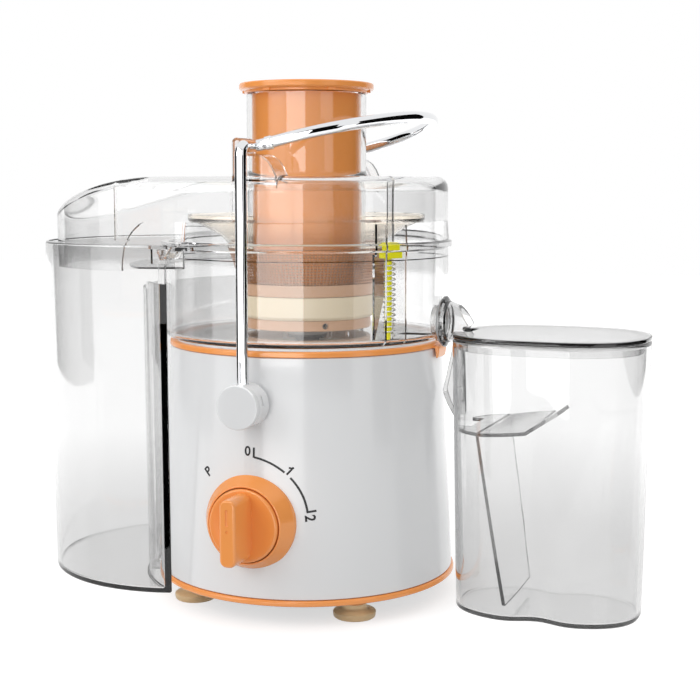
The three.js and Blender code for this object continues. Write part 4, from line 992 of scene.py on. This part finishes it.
def add_world():
    """White all round to the camera and in gloss and glass, and a plain soft light on everything else."""
    world = bpy.data.worlds.new("studio")
    bpy.context.scene.world = world
    world.use_nodes = True
    tree = world.node_tree
    tree.nodes.clear()
    rays = add_node(tree, "ShaderNodeLightPath").outputs
    glossy = add_node(tree, "ShaderNodeMath", {0: rays["Is Camera Ray"], 1: rays["Is Glossy Ray"]}, operation="MAXIMUM")
    seen = add_node(tree, "ShaderNodeMath", {0: glossy.outputs[0], 1: rays["Is Transmission Ray"]}, operation="MAXIMUM")
    strength = add_node(tree, "ShaderNodeMapRange", {"Value": seen.outputs[0], "To Min": 0.85, "To Max": 1.0})
    white = add_node(tree, "ShaderNodeBackground", {"Color": (1, 1, 1, 1), "Strength": strength.outputs["Result"]})
    add_node(tree, "ShaderNodeOutputWorld", {"Surface": white.outputs[0]})


def floor_material():
    """Pale card. It shows white to the camera and in gloss and glass, and keeps a soft shadow under the juicer."""
    material, tree, shader, place = new_material("studio_floor")
    rays = add_node(tree, "ShaderNodeLightPath").outputs
    glossy = add_node(tree, "ShaderNodeMath", {0: rays["Is Camera Ray"], 1: rays["Is Glossy Ray"]}, operation="MAXIMUM")
    seen = add_node(tree, "ShaderNodeMath", {0: glossy.outputs[0], 1: rays["Is Transmission Ray"]}, operation="MAXIMUM")
    reach = add_node(tree, "ShaderNodeVectorMath", {0: place}, operation="LENGTH")
    fade = add_node(tree, "ShaderNodeMapRange", {
        "Value": reach.outputs["Value"], "From Min": 0.25, "From Max": 0.6, "To Min": 0.6, "To Max": 1.0,
    })
    glow = add_node(tree, "ShaderNodeMath", {0: fade.outputs["Result"], 1: seen.outputs[0]}, operation="MULTIPLY")
    shader.inputs["Base Color"].default_value = (0.55, 0.55, 0.55, 1)
    shader.inputs["Roughness"].default_value = 1.0
    shader.inputs["Specular IOR Level"].default_value = 0.0
    shader.inputs["Emission Color"].default_value = (1, 1, 1, 1)
    tree.links.new(glow.outputs[0], shader.inputs["Emission Strength"])
    return material


def add_floor():
    bpy.ops.mesh.primitive_plane_add(size=FLOOR_SIZE, location=(0, 0, -0.2 * MM))
    floor = bpy.context.object
    floor.name = "floor"
    floor.data.materials.append(floor_material())


def add_softbox(name, place, size, power):
    bpy.ops.object.light_add(type="AREA", location=place)
    lamp = bpy.context.object
    lamp.name = name
    lamp.data.shape = "RECTANGLE"
    lamp.data.size, lamp.data.size_y = size
    lamp.data.energy = power
    lamp.rotation_euler = (Vector((0, 0, 0.15)) - lamp.location).to_track_quat("-Z", "Y").to_euler()


def card_material(name, shade, glow=0.0):
    material, tree, shader, _ = new_material(name)
    shader.inputs["Base Color"].default_value = colour(shade)
    shader.inputs["Roughness"].default_value = 1.0
    shader.inputs["Specular IOR Level"].default_value = 0.0
    shader.inputs["Emission Color"].default_value = (1, 1, 1, 1)
    shader.inputs["Emission Strength"].default_value = glow
    return material


def add_card(name, start, end, low, high, material, in_glass=False):
    """An upright studio card that only gloss shows, as a streak. Its ends are (towards the camera, to the right), in mm."""
    azimuth = math.radians(CAMERA_AZIMUTH)
    towards = Vector((math.sin(azimuth), -math.cos(azimuth), 0))
    right = Vector((math.cos(azimuth), math.sin(azimuth), 0))
    ends = [AXIS + (a * towards + b * right) * MM for a, b in (start, end)]
    bpy.ops.object.select_all(action="DESELECT")
    bpy.ops.mesh.primitive_plane_add(size=MM, location=ends[0] + Vector((0, 0, low * MM)))
    card = bpy.context.object
    card.name = name
    bpy.ops.object.mode_set(mode="EDIT")
    bpy.ops.mesh.merge(type="CENTER")
    bpy.ops.mesh.extrude_region_move(TRANSFORM_OT_translate={"value": ends[1] - ends[0]})
    bpy.ops.mesh.select_all(action="SELECT")
    bpy.ops.mesh.extrude_region_move(TRANSFORM_OT_translate={"value": (0, 0, (high - low) * MM)})
    bpy.ops.object.mode_set(mode="OBJECT")
    bpy.ops.object.transform_apply(location=True)
    card.data.materials.append(material)
    card.visible_camera = False
    card.visible_diffuse = False
    card.visible_shadow = False
    card.visible_transmission = in_glass


def add_studio():
    add_world()
    add_floor()
    add_softbox("key_softbox", (-0.9, -1.1, 0.9), (0.9, 1.1), 7)
    dark = card_material("dark_card", "#0C0C0C")
    add_card("card_left", (200, -950), (-700, -900), 0, 900, dark, in_glass=True)
    add_card("card_right", (650, 820), (-600, 950), 0, 900, dark, in_glass=True)
    add_card("card_low_gap", (162, -138), (191, -100), 0, 152, dark)
    lit = card_material("lit_card", "#FFFFFF", 4.4)
    add_card("card_veil", (125, -84), (155, -6), 143, 310, lit)
    add_card("card_veil_low", (282, -200), (420, -20), 0, 112, card_material("lit_card_low", "#FFFFFF", 3.0))
    add_card("card_dark_veil", (420, -18), (330, 210), 112, 300, dark)
    add_card("card_front_high", (1400, -900), (1400, 700), 285, 1500, dark)
    bpy.context.scene.view_settings.view_transform = "Standard"


add_camera()
paint_nodes()
make_feet()
make_shell()
make_knob()
make_hubs()
make_bail()
make_bowl()
make_spout()
make_lid()
make_interlock()
make_basket()
make_pusher()
make_bin()
make_jug()
add_studio()
